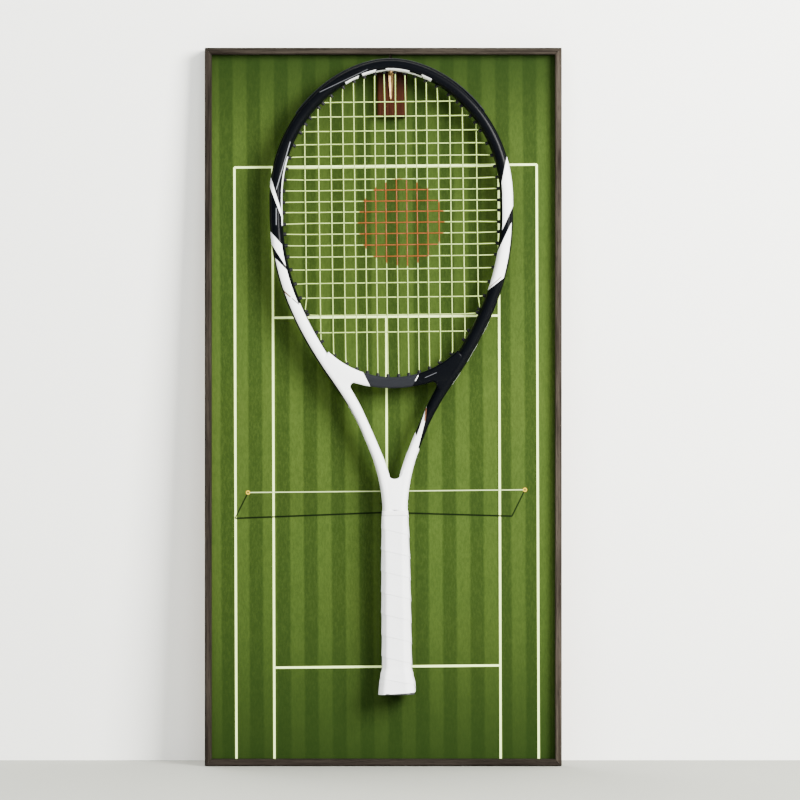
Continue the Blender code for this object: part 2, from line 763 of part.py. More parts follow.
def spread_ports():
    """Draws a port back along the hoop from the next, where a main and a cross would share one."""
    ports = [port for pair in MAIN_PORTS for port in pair if port.distance] + CROSS_PORTS
    ports.sort(key=lambda port: port.distance)
    for first, second in zip(ports, ports[1:]):
        short = PORT_SPACING - (second.distance - first.distance)
        if short > 0:
            first.slide(-short)


MAIN_X = [x * MM for x in MAINS_FROM_MIDDLE]
CROSS_Z = [-down * MM for down in CROSSES_BELOW_TOP]
MAIN_PORTS = [main_ports(x) for x in MAIN_X]
CROSS_PORTS = [cross_port(z) for z in CROSS_Z]
spread_ports()
GROOVE_END = max(bottom.distance for _, bottom in MAIN_PORTS if bottom.distance) + 9 * MM
GUARD_END = CROSS_PORTS[1].distance + 6 * MM


def port_cutters():
    """One drill for each port, from inside the hoop to the groove, on both sides."""
    bm = bmesh.new()
    ports = [port for pair in MAIN_PORTS for port in pair] + CROSS_PORTS
    for port in ports + [port.mirrored() for port in ports]:
        run = port.outer - port.inner
        reach = run.length + 4 * MM
        middle = (port.inner + port.outer) / 2
        turn = Vector((run.x, 0, run.y)).to_track_quat("Z", "Y").to_matrix().to_4x4() @ DRILL_TURN
        bmesh.ops.create_cone(
            bm,
            cap_ends=True,
            segments=6,
            radius1=PORT_RADIUS,
            radius2=PORT_RADIUS,
            depth=reach,
            matrix=Matrix.Translation((middle.x, 0, middle.y)) @ turn,
        )
    return as_cutter(mesh_of(bm), "string_ports")


def hoop_section():
    """A rounded box, flatter outside than in, as (outwards, across) points."""
    half = [(6.6, 3.6), (6.0, 7.6), (3.9, 10.9), (0.4, 12.0), (-3.2, 11.3), (-5.8, 8.2), (-6.6, 3.4)]
    whole = half + [(out, -across) for out, across in reversed(half)]
    return [(out * MM, across * MM) for out, across in whole]


def racket_frame(ports):
    """The moulded hairpin: hoop, arms and legs, with the bridge and the web in the crotch."""
    points, scales = across_top(HAIRPIN.points, HAIRPIN.scales)
    frame = both_sides(sweep(points, scales, hoop_section()))

    upper = [
        (THROAT_RADIUS * math.sin(a), THROAT_CENTRE - THROAT_RADIUS * math.cos(a))
        for a in (BRIDGE_HALF_ANGLE * i / 10 for i in range(-10, 11))
    ]
    lower = [(x * MM, underside_z(x * MM)) for x in (58, 46, 33, 20, 7, -7, -20, -33, -46, -58)]
    bridge = bevelled(flat([upper + lower], BRIDGE_DEPTH), 2.5 * MM)
    apply(frame, as_cutter(moved(solid_from(bridge), TO_FRONT), "bridge"), "UNION")

    # The web closes the two arms into one shaft below a rounded crotch
    web_top = -443.5
    web_bottom = -484
    angles = [math.pi * i / 10 for i in range(11)]
    outline = [(7.0 * math.cos(a), web_top - 7.8 * math.sin(a)) for a in angles]
    outline += [(-10.5, web_top), (-8.0, web_bottom), (8.0, web_bottom), (10.5, web_top)]
    web = flat([[(x * MM, z * MM) for x, z in outline]], WEB_DEPTH)
    apply(frame, as_cutter(moved(web, TO_FRONT), "crotch_web"), "UNION")

    points, scales = across_top(*stations(0, GROOVE_END))
    beyond = WALL_HALF + 2.4 * MM
    groove = [
        (GROOVE_FLOOR, -GROOVE_HALF),
        (GROOVE_FLOOR, GROOVE_HALF),
        (beyond, GROOVE_HALF),
        (beyond, -GROOVE_HALF),
    ]
    apply(frame, as_cutter(both_sides(sweep(points, scales, groove)), "hoop_groove"), "DIFFERENCE")
    run = [x * MM for x in (-43, -30, -16, 0, 16, 30, 43)]
    trough = [(x, underside_z(x) + BRIDGE_GROOVE) for x in run]
    trough += [(x, underside_z(x) - 4 * MM) for x in reversed(run)]
    trough = moved(flat([trough], 2 * GROOVE_HALF), TO_FRONT)
    apply(frame, as_cutter(trough, "bridge_groove"), "DIFFERENCE")
    apply(frame, ports, "DIFFERENCE")
    return frame


def channel(side):
    """The section of a nylon strip in the groove: a floor between two walls.

    side is the outline of a wall above the floor's edge, as (outwards, across) points. The
    bumper guard's wall goes on over the hoop's face as a wing, and a grommet strip's just ends.
    """
    half = GROOVE_HALF - GAP
    inner = half - STRIP_WALL
    low = GROOVE_FLOOR + GAP
    floor = low + STRIP_FLOOR
    right = [(low, half)] + side + [(side[-1][0], inner), (floor, inner)]
    left = [(out, -across) for out, across in reversed(right)]
    return right + left


def strips(ports):
    """The bumper guard over the head and one grommet strip down each side, drilled for strings."""
    wing = [(6.95, (GROOVE_HALF - GAP) / MM), (6.5, 7.2), (7.2, 7.4), (GUARD_REACH / MM, 3.0)]
    points, scales = across_top(*stations(0, GUARD_END))
    guard = both_sides(sweep(points, scales, channel([(out * MM, across * MM) for out, across in wing])))
    apply(guard, ports, "DIFFERENCE")
    made = [as_part(guard, "bumper_guard", NYLON)]
    points, scales = stations(GUARD_END + 2 * GAP, GROOVE_END - 2 * GAP)
    for side in ("right", "left"):
        strip = sweep(points, scales, channel([(STRIP_TOP, GROOVE_HALF - GAP)]))
        if side == "left":
            for vertex in strip.data.vertices:
                vertex.co.x = -vertex.co.x
            strip.data.flip_normals()
        apply(strip, ports, "DIFFERENCE")
        made.append(as_part(strip, f"grommet_strip_{side}", NYLON))
    return made


def in_bed(point, across):
    return Vector((point.x, across, point.y))


def port_points(port, outwards, side):
    """A string's points through a port. Mains keep to one side of it and crosses to the other."""
    run = (port.outer - port.inner).normalized()
    across = side * ASIDE_IN_PORT
    points = [in_bed(port.inner - run * 0.2 * MM, across), in_bed(port.outer - run * 0.5 * MM, across)]
    return points if outwards else points[::-1]


def groove_turn(start, stop, side):
    """A string's way along the groove from one port to its neighbour, or under the bridge."""
    made = []
    for share in (0.07, 0.5, 0.93):
        across = side * ASIDE_IN_GROOVE
        if start.distance is None:
            x = start.outer.x + (stop.outer.x - start.outer.x) * share
            made.append(Vector((x, across, underside_z(x) + BRIDGE_LIFT)))
            continue
        reach = [math.copysign(port.distance, port.inner.x) for port in (start, stop)]
        signed = reach[0] + (reach[1] - reach[0]) * share
        point = HAIRPIN.beside(abs(signed), STRING_LIFT)
        made.append(Vector((math.copysign(point.x, signed), across, point.y)))
    return made


def crossings():
    """Every crossing of a main and a cross inside the hoop, with the side the main passes on."""
    xs = [-x for x in reversed(MAIN_X)] + MAIN_X
    pairs = MAIN_PORTS[::-1] + MAIN_PORTS
    found = {}
    for i, (x, (top, bottom)) in enumerate(zip(xs, pairs)):
        for j, (z, side) in enumerate(zip(CROSS_Z, CROSS_PORTS)):
            clear = 3 * MM
            if abs(x) < side.inner.x - clear and bottom.inner.y + clear < z < top.inner.y - clear:
                found[i, j] = (x, z, 1 if (i + j) % 2 else -1)
    return found


def main_strings(found):
    """One string that goes down and up the hoop as all the mains, round its outside at each turn."""
    pairs = [(top.mirrored(), bottom.mirrored()) for top, bottom in reversed(MAIN_PORTS)] + MAIN_PORTS
    route = []
    for i, (top, bottom) in enumerate(pairs):
        rows = sorted(j for (main, j) in found if main == i)
        upward = i % 2 == 1
        first, last = (bottom, top) if upward else (top, bottom)
        route += port_points(first, False, -1)
        for j in rows[::-1] if upward else rows:
            x, z, over = found[i, j]
            route.append(Vector((x, over * WEAVE, z)))
        route += port_points(last, True, -1)
        if i + 1 < len(pairs):
            route += groove_turn(last, pairs[i + 1][0 if upward else 1], -1)
    return tube(route, STRING_RADIUS)


def cross_strings(found):
    """The other string: all the crosses, woven over and under the mains."""
    route = []
    for j, right in enumerate(CROSS_PORTS):
        columns = sorted(i for (i, cross) in found if cross == j)
        leftward = j % 2 == 1
        first, last = (right, right.mirrored()) if leftward else (right.mirrored(), right)
        route += port_points(first, False, 1)
        for i in columns[::-1] if leftward else columns:
            x, z, over = found[i, j]
            route.append(Vector((x, -over * WEAVE, z)))
        route += port_points(last, True, 1)
        if j + 1 < len(CROSS_PORTS):
            below = CROSS_PORTS[j + 1]
            route += groove_turn(last, below.mirrored() if leftward else below, 1)
    return tube(route, STRING_RADIUS)


def octagon(half_width, half_depth, facet):
    """The eight corners of a grip section, as (x, y)."""
    flat_x, flat_y = half_width - facet, half_depth - facet
    quarter = [(half_width, flat_y), (flat_x, half_depth)]
    upper = quarter + [(-x, y) for x, y in reversed(quarter)]
    return upper + [(-x, -y) for x, y in upper]


def octagon_loft(rings, closed=True):
    """A skin through octagons, given as (distance down, half width, half depth, facet) in mm."""
    bm = bmesh.new()
    loops = []
    for down, half_width, half_depth, facet in rings:
        corners = octagon(half_width * MM, half_depth * MM, facet * MM)
        loops.append([bm.verts.new((x, y, -down * MM)) for x, y in corners])
    for above, below in zip(loops, loops[1:]):
        for k in range(8):
            bm.faces.new((above[k], above[k - 1], below[k - 1], below[k]))
    if closed:
        bm.faces.new(loops[0])
        bm.faces.new(loops[-1][::-1])
    return mesh_of(bm)


def shell_inwards(obj, thickness):
    """Gives an open skin its wall, on the inner side."""
    shell = obj.modifiers.new("wall", "SOLIDIFY")
    shell.thickness = thickness
    shell.offset = -1
    shell.use_even_offset = True
    return obj


def ring_at(down, inset):
    """The grip's outer octagon at a distance down the racket, drawn in by an inset, in mm."""
    rings = GRIP_RINGS
    for above, below in zip(rings, rings[1:]):
        if down <= below[0]:
            break
    share = (down - above[0]) / (below[0] - above[0])
    width, depth, facet = (a + (b - a) * share for a, b in zip(above[1:], below[1:]))
    return (down, width - inset, depth - inset, facet - 0.4 * inset)


def handle():
    """The pallet on the two legs, the grip wound round it, the collar, and the butt cap."""
    gap = GAP / MM
    inset = GRIP_WALL / MM + gap
    between = [ring[0] for ring in GRIP_RINGS if PALLET_TOP < ring[0] < PALLET_BOTTOM]
    pallet = octagon_loft([ring_at(down, inset) for down in [PALLET_TOP] + between + [PALLET_BOTTOM]])
    slot_bottom = LEG_END - GAP
    slot_top = -(PALLET_TOP - 5) * MM
    slot = box((*LEG_SLOT, slot_top - slot_bottom), (0, 0, (slot_top + slot_bottom) / 2))
    apply(pallet, as_cutter(slot, "leg_slot"), "DIFFERENCE")

    wrap = shell_inwards(octagon_loft(GRIP_RINGS, closed=False), GRIP_WALL)
    first = GRIP_RINGS[0]
    collar = octagon_loft([COLLAR_RING, (first[0] - gap, *first[1:])], closed=False)
    shell_inwards(collar, COLLAR_WALL)

    end = GRIP_RINGS[-1]
    seat = ring_at(end[0], inset)[1:]
    rim = (end[1] - 0.1, end[2] - 0.1, end[3])
    edge = (end[1] - 1.2, end[2] - 1.2, end[3] - 0.5)
    length = BUTT_BELOW_TOP / MM
    cap = octagon_loft(
        [
            (PALLET_BOTTOM + gap, *seat),
            (end[0] + gap, *seat),
            (end[0] + gap, *rim),
            (length - 0.8, *rim),
            (length, *edge),
        ]
    )
    half_width, half_depth, facet = PLUG_SIZE
    recess_floor = length - PLUG_RECESS
    recess = octagon_loft([(recess_floor, *PLUG_SIZE), (length + 2, *PLUG_SIZE)])
    apply(cap, as_cutter(recess, "plug_recess"), "DIFFERENCE")
    loose = (half_width - gap, half_depth - gap, facet - 0.1)
    plug = octagon_loft([(recess_floor + gap, *loose), (length - 0.4, *loose)])
    return [
        as_part(pallet, "handle_pallet", FOAM),
        as_part(wrap, "grip_wrap", GRIP),
        as_part(collar, "grip_collar", GRIP),
        as_part(cap, "butt_cap", CAP),
        as_part(plug, "butt_plug", CAP),
    ]


def racket():
    """Draws the racket from its hoop's top downwards, and hangs it all from a pivot on the pin."""
    pivot = bpy.data.objects.new("racket_pivot", None)
    PARTS.objects.link(pivot)
    pivot.location = (PIN_X, Y_RACKET, PIN_Z)
    pivot.rotation_euler = (0, RACKET_LEAN, 0)
    cutters_before = set(CUTTERS.objects)
    ports = port_cutters()
    frame = smooth(as_part(racket_frame(ports), "racket_frame", LACQUER), 50)
    found = crossings()
    apart = 2 * (WEAVE - STRING_RADIUS) / MM
    print(f"{len(found)} crossings, each with {apart:.2f} mm between the strings")
    mains = smooth(as_part(main_strings(found), "main_strings", STRING), 60)
    crosses = smooth(as_part(cross_strings(found), "cross_strings", STRING), 60)
    pieces = [frame, mains, crosses] + strips(ports) + handle()
    for obj in pieces + [cutter for cutter in CUTTERS.objects if cutter not in cutters_before]:
        obj.parent = pivot
        obj.location = (RACKET_ASIDE, 0, PIN_BELOW_TOP)


RAILS = rails()
corner_brads(RAILS)
framing_points(RAILS)
BACKING_BOARD, COURT_PRINT = board_and_print()
hangers(BACKING_BOARD)
holder(BACKING_BOARD, COURT_PRINT)
racket()
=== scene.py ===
# %% [markdown]
# The object is a shallow tray of four dark wooden rails with a print of a grass court in it, and a
# strung tennis racket that hangs in front of the print from one brass pin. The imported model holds
# every solid at its real size. This lesson dresses it: some solids only get a finish, and others
# are replaced by finer surfaces that stand in the same place.

import json
import math

import bmesh
import bpy
from mathutils import Matrix, Vector
from mathutils.geometry import interpolate_bezier


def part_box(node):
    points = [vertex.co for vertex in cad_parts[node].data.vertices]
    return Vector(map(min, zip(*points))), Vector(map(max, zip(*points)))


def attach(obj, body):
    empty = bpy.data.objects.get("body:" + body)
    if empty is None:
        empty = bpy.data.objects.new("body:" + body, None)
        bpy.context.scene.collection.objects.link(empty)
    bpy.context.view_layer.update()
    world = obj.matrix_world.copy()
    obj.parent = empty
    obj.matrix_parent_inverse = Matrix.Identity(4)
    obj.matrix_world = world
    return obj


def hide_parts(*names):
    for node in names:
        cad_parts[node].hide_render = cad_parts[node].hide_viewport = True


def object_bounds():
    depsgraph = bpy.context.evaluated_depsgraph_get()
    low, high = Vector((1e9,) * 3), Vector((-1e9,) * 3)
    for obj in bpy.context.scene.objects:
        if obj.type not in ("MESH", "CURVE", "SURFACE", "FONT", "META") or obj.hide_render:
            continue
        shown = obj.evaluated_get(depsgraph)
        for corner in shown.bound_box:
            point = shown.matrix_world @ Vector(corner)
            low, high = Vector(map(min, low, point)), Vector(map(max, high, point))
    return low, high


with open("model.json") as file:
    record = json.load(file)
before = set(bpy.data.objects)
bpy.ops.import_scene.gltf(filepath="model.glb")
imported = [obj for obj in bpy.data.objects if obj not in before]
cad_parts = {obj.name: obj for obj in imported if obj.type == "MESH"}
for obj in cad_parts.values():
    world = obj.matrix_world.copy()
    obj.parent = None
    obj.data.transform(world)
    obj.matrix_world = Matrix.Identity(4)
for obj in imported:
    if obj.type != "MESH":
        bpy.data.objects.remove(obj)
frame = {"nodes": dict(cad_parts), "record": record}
cad_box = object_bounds()
NODES = frame["nodes"]
BODIES = frame["record"]["behaviour"]["bodies"]
MM = 0.001


def add_object(name, data):
    """Puts a camera, a light, a curve or a mesh into the scene."""
    obj = bpy.data.objects.new(name, data)
    bpy.context.scene.collection.objects.link(obj)
    return obj


print(f"{len(NODES)} nodes on {len(BODIES)} bodies")

# %% [markdown]
# The photograph is taken straight on, with the lens at half the frame's height. How far away it
# stood isn't known, and five metres is an estimate that fits the picture. A long lens keeps the
# rails parallel, so the camera is set by two lengths: how far it stands from the rack, and how wide
# a slice of the rack's own plane the picture takes in.

# %% Camera
VIEW_WIDTH = 0.86544
VIEW_DISTANCE = 5.0
VIEW_CENTRE = (0.01807, -0.37963)
RACK_PLANE = -0.024
SENSOR_WIDTH = 36

lens = bpy.data.cameras.new("camera")
lens.sensor_width = SENSOR_WIDTH
lens.lens = SENSOR_WIDTH * VIEW_DISTANCE / VIEW_WIDTH
camera = add_object("camera", lens)
camera.location = (VIEW_CENTRE[0], RACK_PLANE - VIEW_DISTANCE, VIEW_CENTRE[1])
camera.rotation_euler = (math.radians(90), 0, 0)
bpy.context.scene.camera = camera
print(f"lens {lens.lens:.1f} mm")

# %% [markdown]
# A material is a small graph of nodes. A node for each sum would take a screen of lines, so a small
# class makes sums readable: Wire wraps one socket and takes Python's operators, and a sum of wires
# adds its Math nodes. Here & gives the smaller of two wires and | the larger, which is how two
# distances are cut or joined.

# %% Wires
class Wire:
    """A number, colour or vector on its way through a graph."""

    def __init__(self, graph, socket):
        self.graph = graph
        self.socket = socket

    def math(self, operation, *others):
        values = dict(enumerate((self, *others)))
        return self.graph.node("ShaderNodeMath", {"operation": operation}, values)

    def __add__(self, other):
        return self.math("ADD", other)

    def __sub__(self, other):
        return self.math("SUBTRACT", other)

    def __mul__(self, other):
        return self.math("MULTIPLY", other)

    def __rsub__(self, other):
        return self * -1 + other

    __radd__ = __add__

    def __neg__(self):
        return self * -1

    def __abs__(self):
        return self.math("ABSOLUTE")

    def __and__(self, other):
        return self.math("MINIMUM", other)

    def __or__(self, other):
        return self.math("MAXIMUM", other)

    def step(self, softness):
        """1 where the wire is above 0 and 0 below it, over a band as wide as the softness."""
        made = self.math("MULTIPLY_ADD", 1 / softness, 0.5)
        made.socket.node.use_clamp = True
        return made


print("wires ready")

# %% [markdown]
# Graph adds any other node from its type, its settings and what goes into its sockets. Geometry
# Nodes trees use it as well. Finish is the graph of one material. Its textures can be stretched,
# because wood, grass and brushed metal all have a direction.

# %% Graphs and finishes
class Graph:
    """A node tree that is filled by node()."""

    def __init__(self, tree):
        self.tree = tree

    def node(self, kind, settings=None, sockets=None, out=0):
        """Adds a node, sets it up, fills its sockets with values or wires, and gives one output."""
        made = self.tree.nodes.new(kind)
        for key, value in (settings or {}).items():
            setattr(made, key, value)
        for key, value in (sockets or {}).items():
            if isinstance(value, Wire):
                self.tree.links.new(value.socket, made.inputs[key])
            else:
                made.inputs[key].default_value = value
        return Wire(self, made.outputs[out])


class Finish(Graph):
    """A material: one Principled BSDF, its constants on its own sockets, and wires into it."""

    def __init__(self, name, **constants):
        self.material = bpy.data.materials.new(name)
        self.material.use_nodes = True
        super().__init__(self.material.node_tree)
        self.shader = self.tree.nodes["Principled BSDF"]
        self.place = self.node("ShaderNodeTexCoord", out=3)
        for key, value in constants.items():
            self.shader.inputs[key.replace("_", " ")].default_value = value

    def surface(self, colour=None, roughness=None, height=None, depth=1 * MM):
        """Wires the colour, the roughness and a bump height into the shader."""
        for key, wire in (("Base Color", colour), ("Roughness", roughness)):
            if wire:
                self.tree.links.new(wire.socket, self.shader.inputs[key])
        if height:
            bump = self.node("ShaderNodeBump", {}, {"Strength": 1, "Distance": depth, "Height": height})
            self.tree.links.new(bump.socket, self.shader.inputs["Normal"])
        return self.material

    def stretched(self, stretch):
        return self.node("ShaderNodeMapping", {}, {"Vector": self.place, "Scale": stretch})

    def noise(self, scale, detail=3.0, stretch=(1, 1, 1), rough=0.55):
        """A cloud of numbers from 0 to 1. The scale is in spots to the metre."""
        vector = self.stretched(stretch)
        sockets = {"Vector": vector, "Scale": scale, "Detail": detail, "Roughness": rough}
        return self.node("ShaderNodeTexNoise", {}, sockets)

    def cells(self, scale, out=0, stretch=(1, 1, 1)):
        """Cells as of cracked mud: how far a place lies from its cell's middle, or its colour."""
        sockets = {"Vector": self.stretched(stretch), "Scale": scale}
        return self.node("ShaderNodeTexVoronoi", {}, sockets, out)

    def mix(self, factor, first, second):
        """A colour between two others. Each is a wire, or a tuple of red, green and blue."""
        first, second = ((*c, 1) if isinstance(c, tuple) else c for c in (first, second))
        sockets = {0: factor, 6: first, 7: second}
        return self.node("ShaderNodeMix", {"data_type": "RGBA"}, sockets, out=2)

    def axes(self, place=None):
        """The three numbers of a place, as wires."""
        split = self.node("ShaderNodeSeparateXYZ", {}, {0: place or self.place})
        return [Wire(self, output) for output in split.socket.node.outputs]

    def attribute(self, name):
        return self.node("ShaderNodeAttribute", {"attribute_name": name}, {}, out=2)


print("graphs and finishes ready")

# %% [markdown]
# The rack stands on a plain grey floor, with its top against a plain pale wall that is a little way
# behind its foot. Both are one sided: seen from behind they let the light and the eye through, so
# that the back of the rack can be looked at too. The main light is one soft window, low on the
# right, so that the rails and the racket throw long shadows to the left. A larger light in front
# stands for the room. It is kept out of reflections, because it would veil the print. A third
# light is for the back, and the sky is faint.

# %% Floor, wall and light
WALL_TOUCH_Y = 3 * MM
WALL_LEAN = 0.078
FLOOR_Z = cad_box[0].z - 0.5 * MM
STAGE_REACH = 6.0


def stage_finish(name, colour):
    """A matt finish that is only there from its front, and that lets light from behind pass."""
    finish = Finish(name, Roughness=0.9)
    speckle = finish.noise(40, 4)
    finish.surface(finish.mix(speckle, colour, tuple(c * 0.985 for c in colour)))
    behind = finish.node("ShaderNodeNewGeometry", out=6)
    shadow = finish.node("ShaderNodeLightPath", out=1)
    clear = finish.node("ShaderNodeBsdfTransparent")
    solid = Wire(finish, finish.shader.outputs[0])
    both = finish.node("ShaderNodeMixShader", {}, {0: behind | shadow, 1: solid, 2: clear})
    finish.tree.links.new(both.socket, finish.tree.nodes["Material Output"].inputs["Surface"])
    return finish.material


def stage_sheet(name, corners, colour):
    data = bpy.data.meshes.new(name)
    data.from_pydata(corners, [], [(0, 1, 2, 3)])
    data.materials.append(stage_finish(name, colour))
    add_object(name, data)


head_z = STAGE_REACH / 2
foot_y = WALL_TOUCH_Y - WALL_LEAN * FLOOR_Z
head_y = WALL_TOUCH_Y - WALL_LEAN * STAGE_REACH / 2
wall_foot = [(-STAGE_REACH, foot_y, FLOOR_Z), (STAGE_REACH, foot_y, FLOOR_Z)]
wall_head = [(STAGE_REACH, head_y, head_z), (-STAGE_REACH, head_y, head_z)]
floor_front = [(-STAGE_REACH, -STAGE_REACH, FLOOR_Z), (STAGE_REACH, -STAGE_REACH, FLOOR_Z)]
stage_sheet("wall", wall_foot + wall_head, (0.86, 0.86, 0.82))
stage_sheet("floor", floor_front + wall_foot[::-1], (0.27, 0.275, 0.24))

MIDDLE = Vector((0, 0, (cad_box[0].z + cad_box[1].z) / 2))


def window(name, direction, distance, size, power, colour=(1, 1, 1), mirrored_in_gloss=True):
    """A square soft light that faces the middle of the rack."""
    data = bpy.data.lights.new(name, "AREA")
    data.size = size
    data.energy = power
    data.color = colour
    light = add_object(name, data)
    light.location = MIDDLE + Vector(direction).normalized() * distance
    light.rotation_euler = (-Vector(direction)).to_track_quat("-Z", "Y").to_euler()
    light.visible_glossy = mirrored_in_gloss


window("window", (0.80, -1, 0.46), 2.6, 1.15, 320, (1, 0.99, 0.965))
window("room", (-0.15, -1, 0.45), 3.0, 2.6, 150, (0.97, 0.985, 1), False)
window("behind", (-0.5, 1, 0.7), 2.6, 1.6, 90)

sky = bpy.data.worlds.new("sky")
sky.use_nodes = True
sky.node_tree.nodes["Background"].inputs["Color"].default_value = (0.93, 0.96, 1, 1)
sky.node_tree.nodes["Background"].inputs["Strength"].default_value = 0.12
bpy.context.scene.world = sky
print(f"floor at {FLOOR_Z:.4f}, the wall's foot at {foot_y:.3f}")

# %% [markdown]
# The rails are stained oak: long dark streaks along the grain with short pores in them. Noise that
# is squeezed across the grain and drawn out along it gives both. Each rail's tone is also scaled by
# painted light, bright on the right rail and dark on the bottom one, as the window falls on them.
# The board behind is brown hardboard with loose fibres, and the block is a red-brown hardwood with
# a closer grain, with the hoop's shadow painted as darker shade over its top.

# %% Woods
AXIS = {"x": 0, "y": 1, "z": 2}


def grain_stretch(along, lengthwise=0.03):
    """How a noise is stretched so that its spots become streaks along one axis."""
    stretch = [1.0] * 3
    stretch[AXIS[along]] = lengthwise
    return tuple(stretch)


def wood(name, along, dark, light, streaks=520, gloss=0.68, relief=0.12, hoop_shade_above=None):
    finish = Finish(name, Specular_IOR_Level=0.03)
    streak = finish.noise(streaks, 5, grain_stretch(along), 0.62)
    pores = finish.noise(streaks * 4, 2, grain_stretch(along, 0.05), 0.5)
    cloud = finish.noise(22, 2, grain_stretch(along, 0.3))
    pore = (pores - 0.62).step(0.12)
    tone = (streak - 0.5) * 2.6 + (cloud - 0.5) * 0.9 + 0.5
    colour = finish.mix(tone.math("MAXIMUM", 0).math("MINIMUM", 1), dark, light)
    deep = tuple(c * 0.45 for c in dark)
    colour = finish.mix(pore * 0.7, colour, deep)
    # Painted shade: the hoop's shadow, which darkens the top of the block.
    if hoop_shade_above is not None:
        hoop_shade = (finish.axes()[2] - hoop_shade_above).step(16 * MM)
        colour = finish.mix(hoop_shade * 0.72, colour, deep)
    height = streak - pore * 0.6
    return finish.surface(colour, gloss + (0.5 - streak) * 0.25 + pore * 0.1, height, relief * MM)


RAIL_TONES = ((0.0062, 0.0046, 0.0034), (0.0265, 0.0215, 0.0165))
# Each rail's grain way, and a factor of painted light on its tone: the window on the right makes the right
# rail brightest and leaves the bottom rail darkest.
RAIL_GRAIN_AND_LIGHT = {"top": ("x", 1.05), "bottom": ("x", 0.72), "left": ("z", 0.95), "right": ("z", 1.8)}
RAILS = {}
for rail, (along, painted_light) in RAIL_GRAIN_AND_LIGHT.items():
    tones = [tuple(c * painted_light for c in tone) for tone in RAIL_TONES]
    RAILS[rail] = wood("stained_oak_" + rail, along, *tones)
BLOCK_TONES = ((0.0128, 0.0034, 0.0014), (0.034, 0.0098, 0.0042))
BLOCK_WOOD = wood("block_hardwood", "z", *BLOCK_TONES, 700, 0.5, 0.06, hoop_shade_above=-44 * MM)


def hardboard():
    finish = Finish("hardboard")
    fibres = finish.noise(900, 6, (1, 1, 0.25), 0.7)
    flecks = finish.cells(420, stretch=(1, 1, 0.4))
    cloud = finish.noise(12, 3)
    colour = finish.mix(fibres, (0.22, 0.13, 0.07), (0.42, 0.28, 0.17))
    colour = finish.mix((cloud - 0.5).step(0.6) * 0.35, colour, (0.3, 0.19, 0.11))
    colour = finish.mix((0.2 - flecks).step(0.1) * 0.3, colour, (0.55, 0.42, 0.3))
    return finish.surface(colour, 0.75 + fibres * 0.15, fibres, 0.15 * MM)


HARDBOARD = hardboard()
print("woods ready")

# %% [markdown]
# Brass and zinc are plain metals with a history: polishing lines, a little tarnish in patches, and
# on zinc the pale crystals that galvanising leaves. Roughness carries most of that, because a
# metal's colour hardly changes where it is dull. The top of the plate is painted nearly black, as
# painted shade where the frame's top rail shades it.

# %% Metals
def metal(name, bright, dull, base_roughness, crystals=0.0, frame_shade_above=None):
    finish = Finish(name, Metallic=1.0)
    lines = finish.noise(2600, 2, (1, 1, 0.04), 0.5)
    tarnish = finish.noise(160, 4)
    patch = (tarnish - 0.55).step(0.3)
    colour = finish.mix(patch * 0.6, bright, dull)
    rough = base_roughness + (lines - 0.5) * 0.18 + patch * 0.16
    if crystals:
        cell = finish.cells(crystals, 1)
        shade = finish.node("ShaderNodeRGBToBW", {}, {0: cell})
        colour = finish.mix(shade * 0.35, colour, tuple(c * 0.72 for c in bright))
        rough = rough + (shade - 0.5) * 0.15
    # Painted shade: the top of the plate goes nearly black under the frame's top rail.
    if frame_shade_above is not None:
        frame_shade = (finish.axes()[2] - frame_shade_above).step(3 * MM)
        colour = finish.mix(frame_shade, colour, (0.010, 0.008, 0.006))
        rough = rough + frame_shade * 0.3
    return finish.surface(colour, rough, lines * 0.5, 0.03 * MM)


BRASS = metal("worn_brass", (0.25, 0.155, 0.065), (0.15, 0.09, 0.04), 0.5)
PLATE_BRASS = metal("plate_brass", (0.34, 0.215, 0.095), (0.20, 0.12, 0.05), 0.5, frame_shade_above=-15 * MM)
ZINC = metal("zinc_plate", (0.66, 0.67, 0.69), (0.42, 0.42, 0.44), 0.36, crystals=700)
print("metals ready")

# %% [markdown]
# The print shows a grass court from straight above. Everything on it is flat colour, so it is one
# material on the sheet: mown bands as a wave across, white lines as thin boxes, and the net with
# its posts and their shadows as short strokes. Each mark is a distance in metres from its line, so
# the lines keep their true width at any size. The print lies a little askew in its frame, so the
# bands, the lines and the rows each have a small tilt.

# %% The print's own plane
BAND_PITCH = 29.98 * MM
BAND_MIDDLE = 8.59 * MM
BAND_TILT = 0.0055
LINE_HALF = 1.15 * MM
LINE_TILT = 0.0035
ROW_TILT = 0.01
BASELINE_Z = -125.9 * MM
SERVICE_Z = (-289.3 * MM, -668.7 * MM)
NET_Z = -478.5 * MM
OUTER_X = (-161.95 * MM, 165.85 * MM)
INNER_X = (-120.7 * MM, 124.6 * MM)
CENTRE_X = 2.2 * MM
SHEET_BOTTOM = -0.78
POSTS = ((-148.4 * MM, NET_Z), (151.9 * MM, NET_Z))
POST_SHADOWS = ((-162.6 * MM, -506.4 * MM), (137.7 * MM, -507.0 * MM))
STRAP = (7.1 * MM, NET_Z)
SHADOW_DIP = (12 * MM, 4.8 * MM)
INK_EDGE = 0.5 * MM


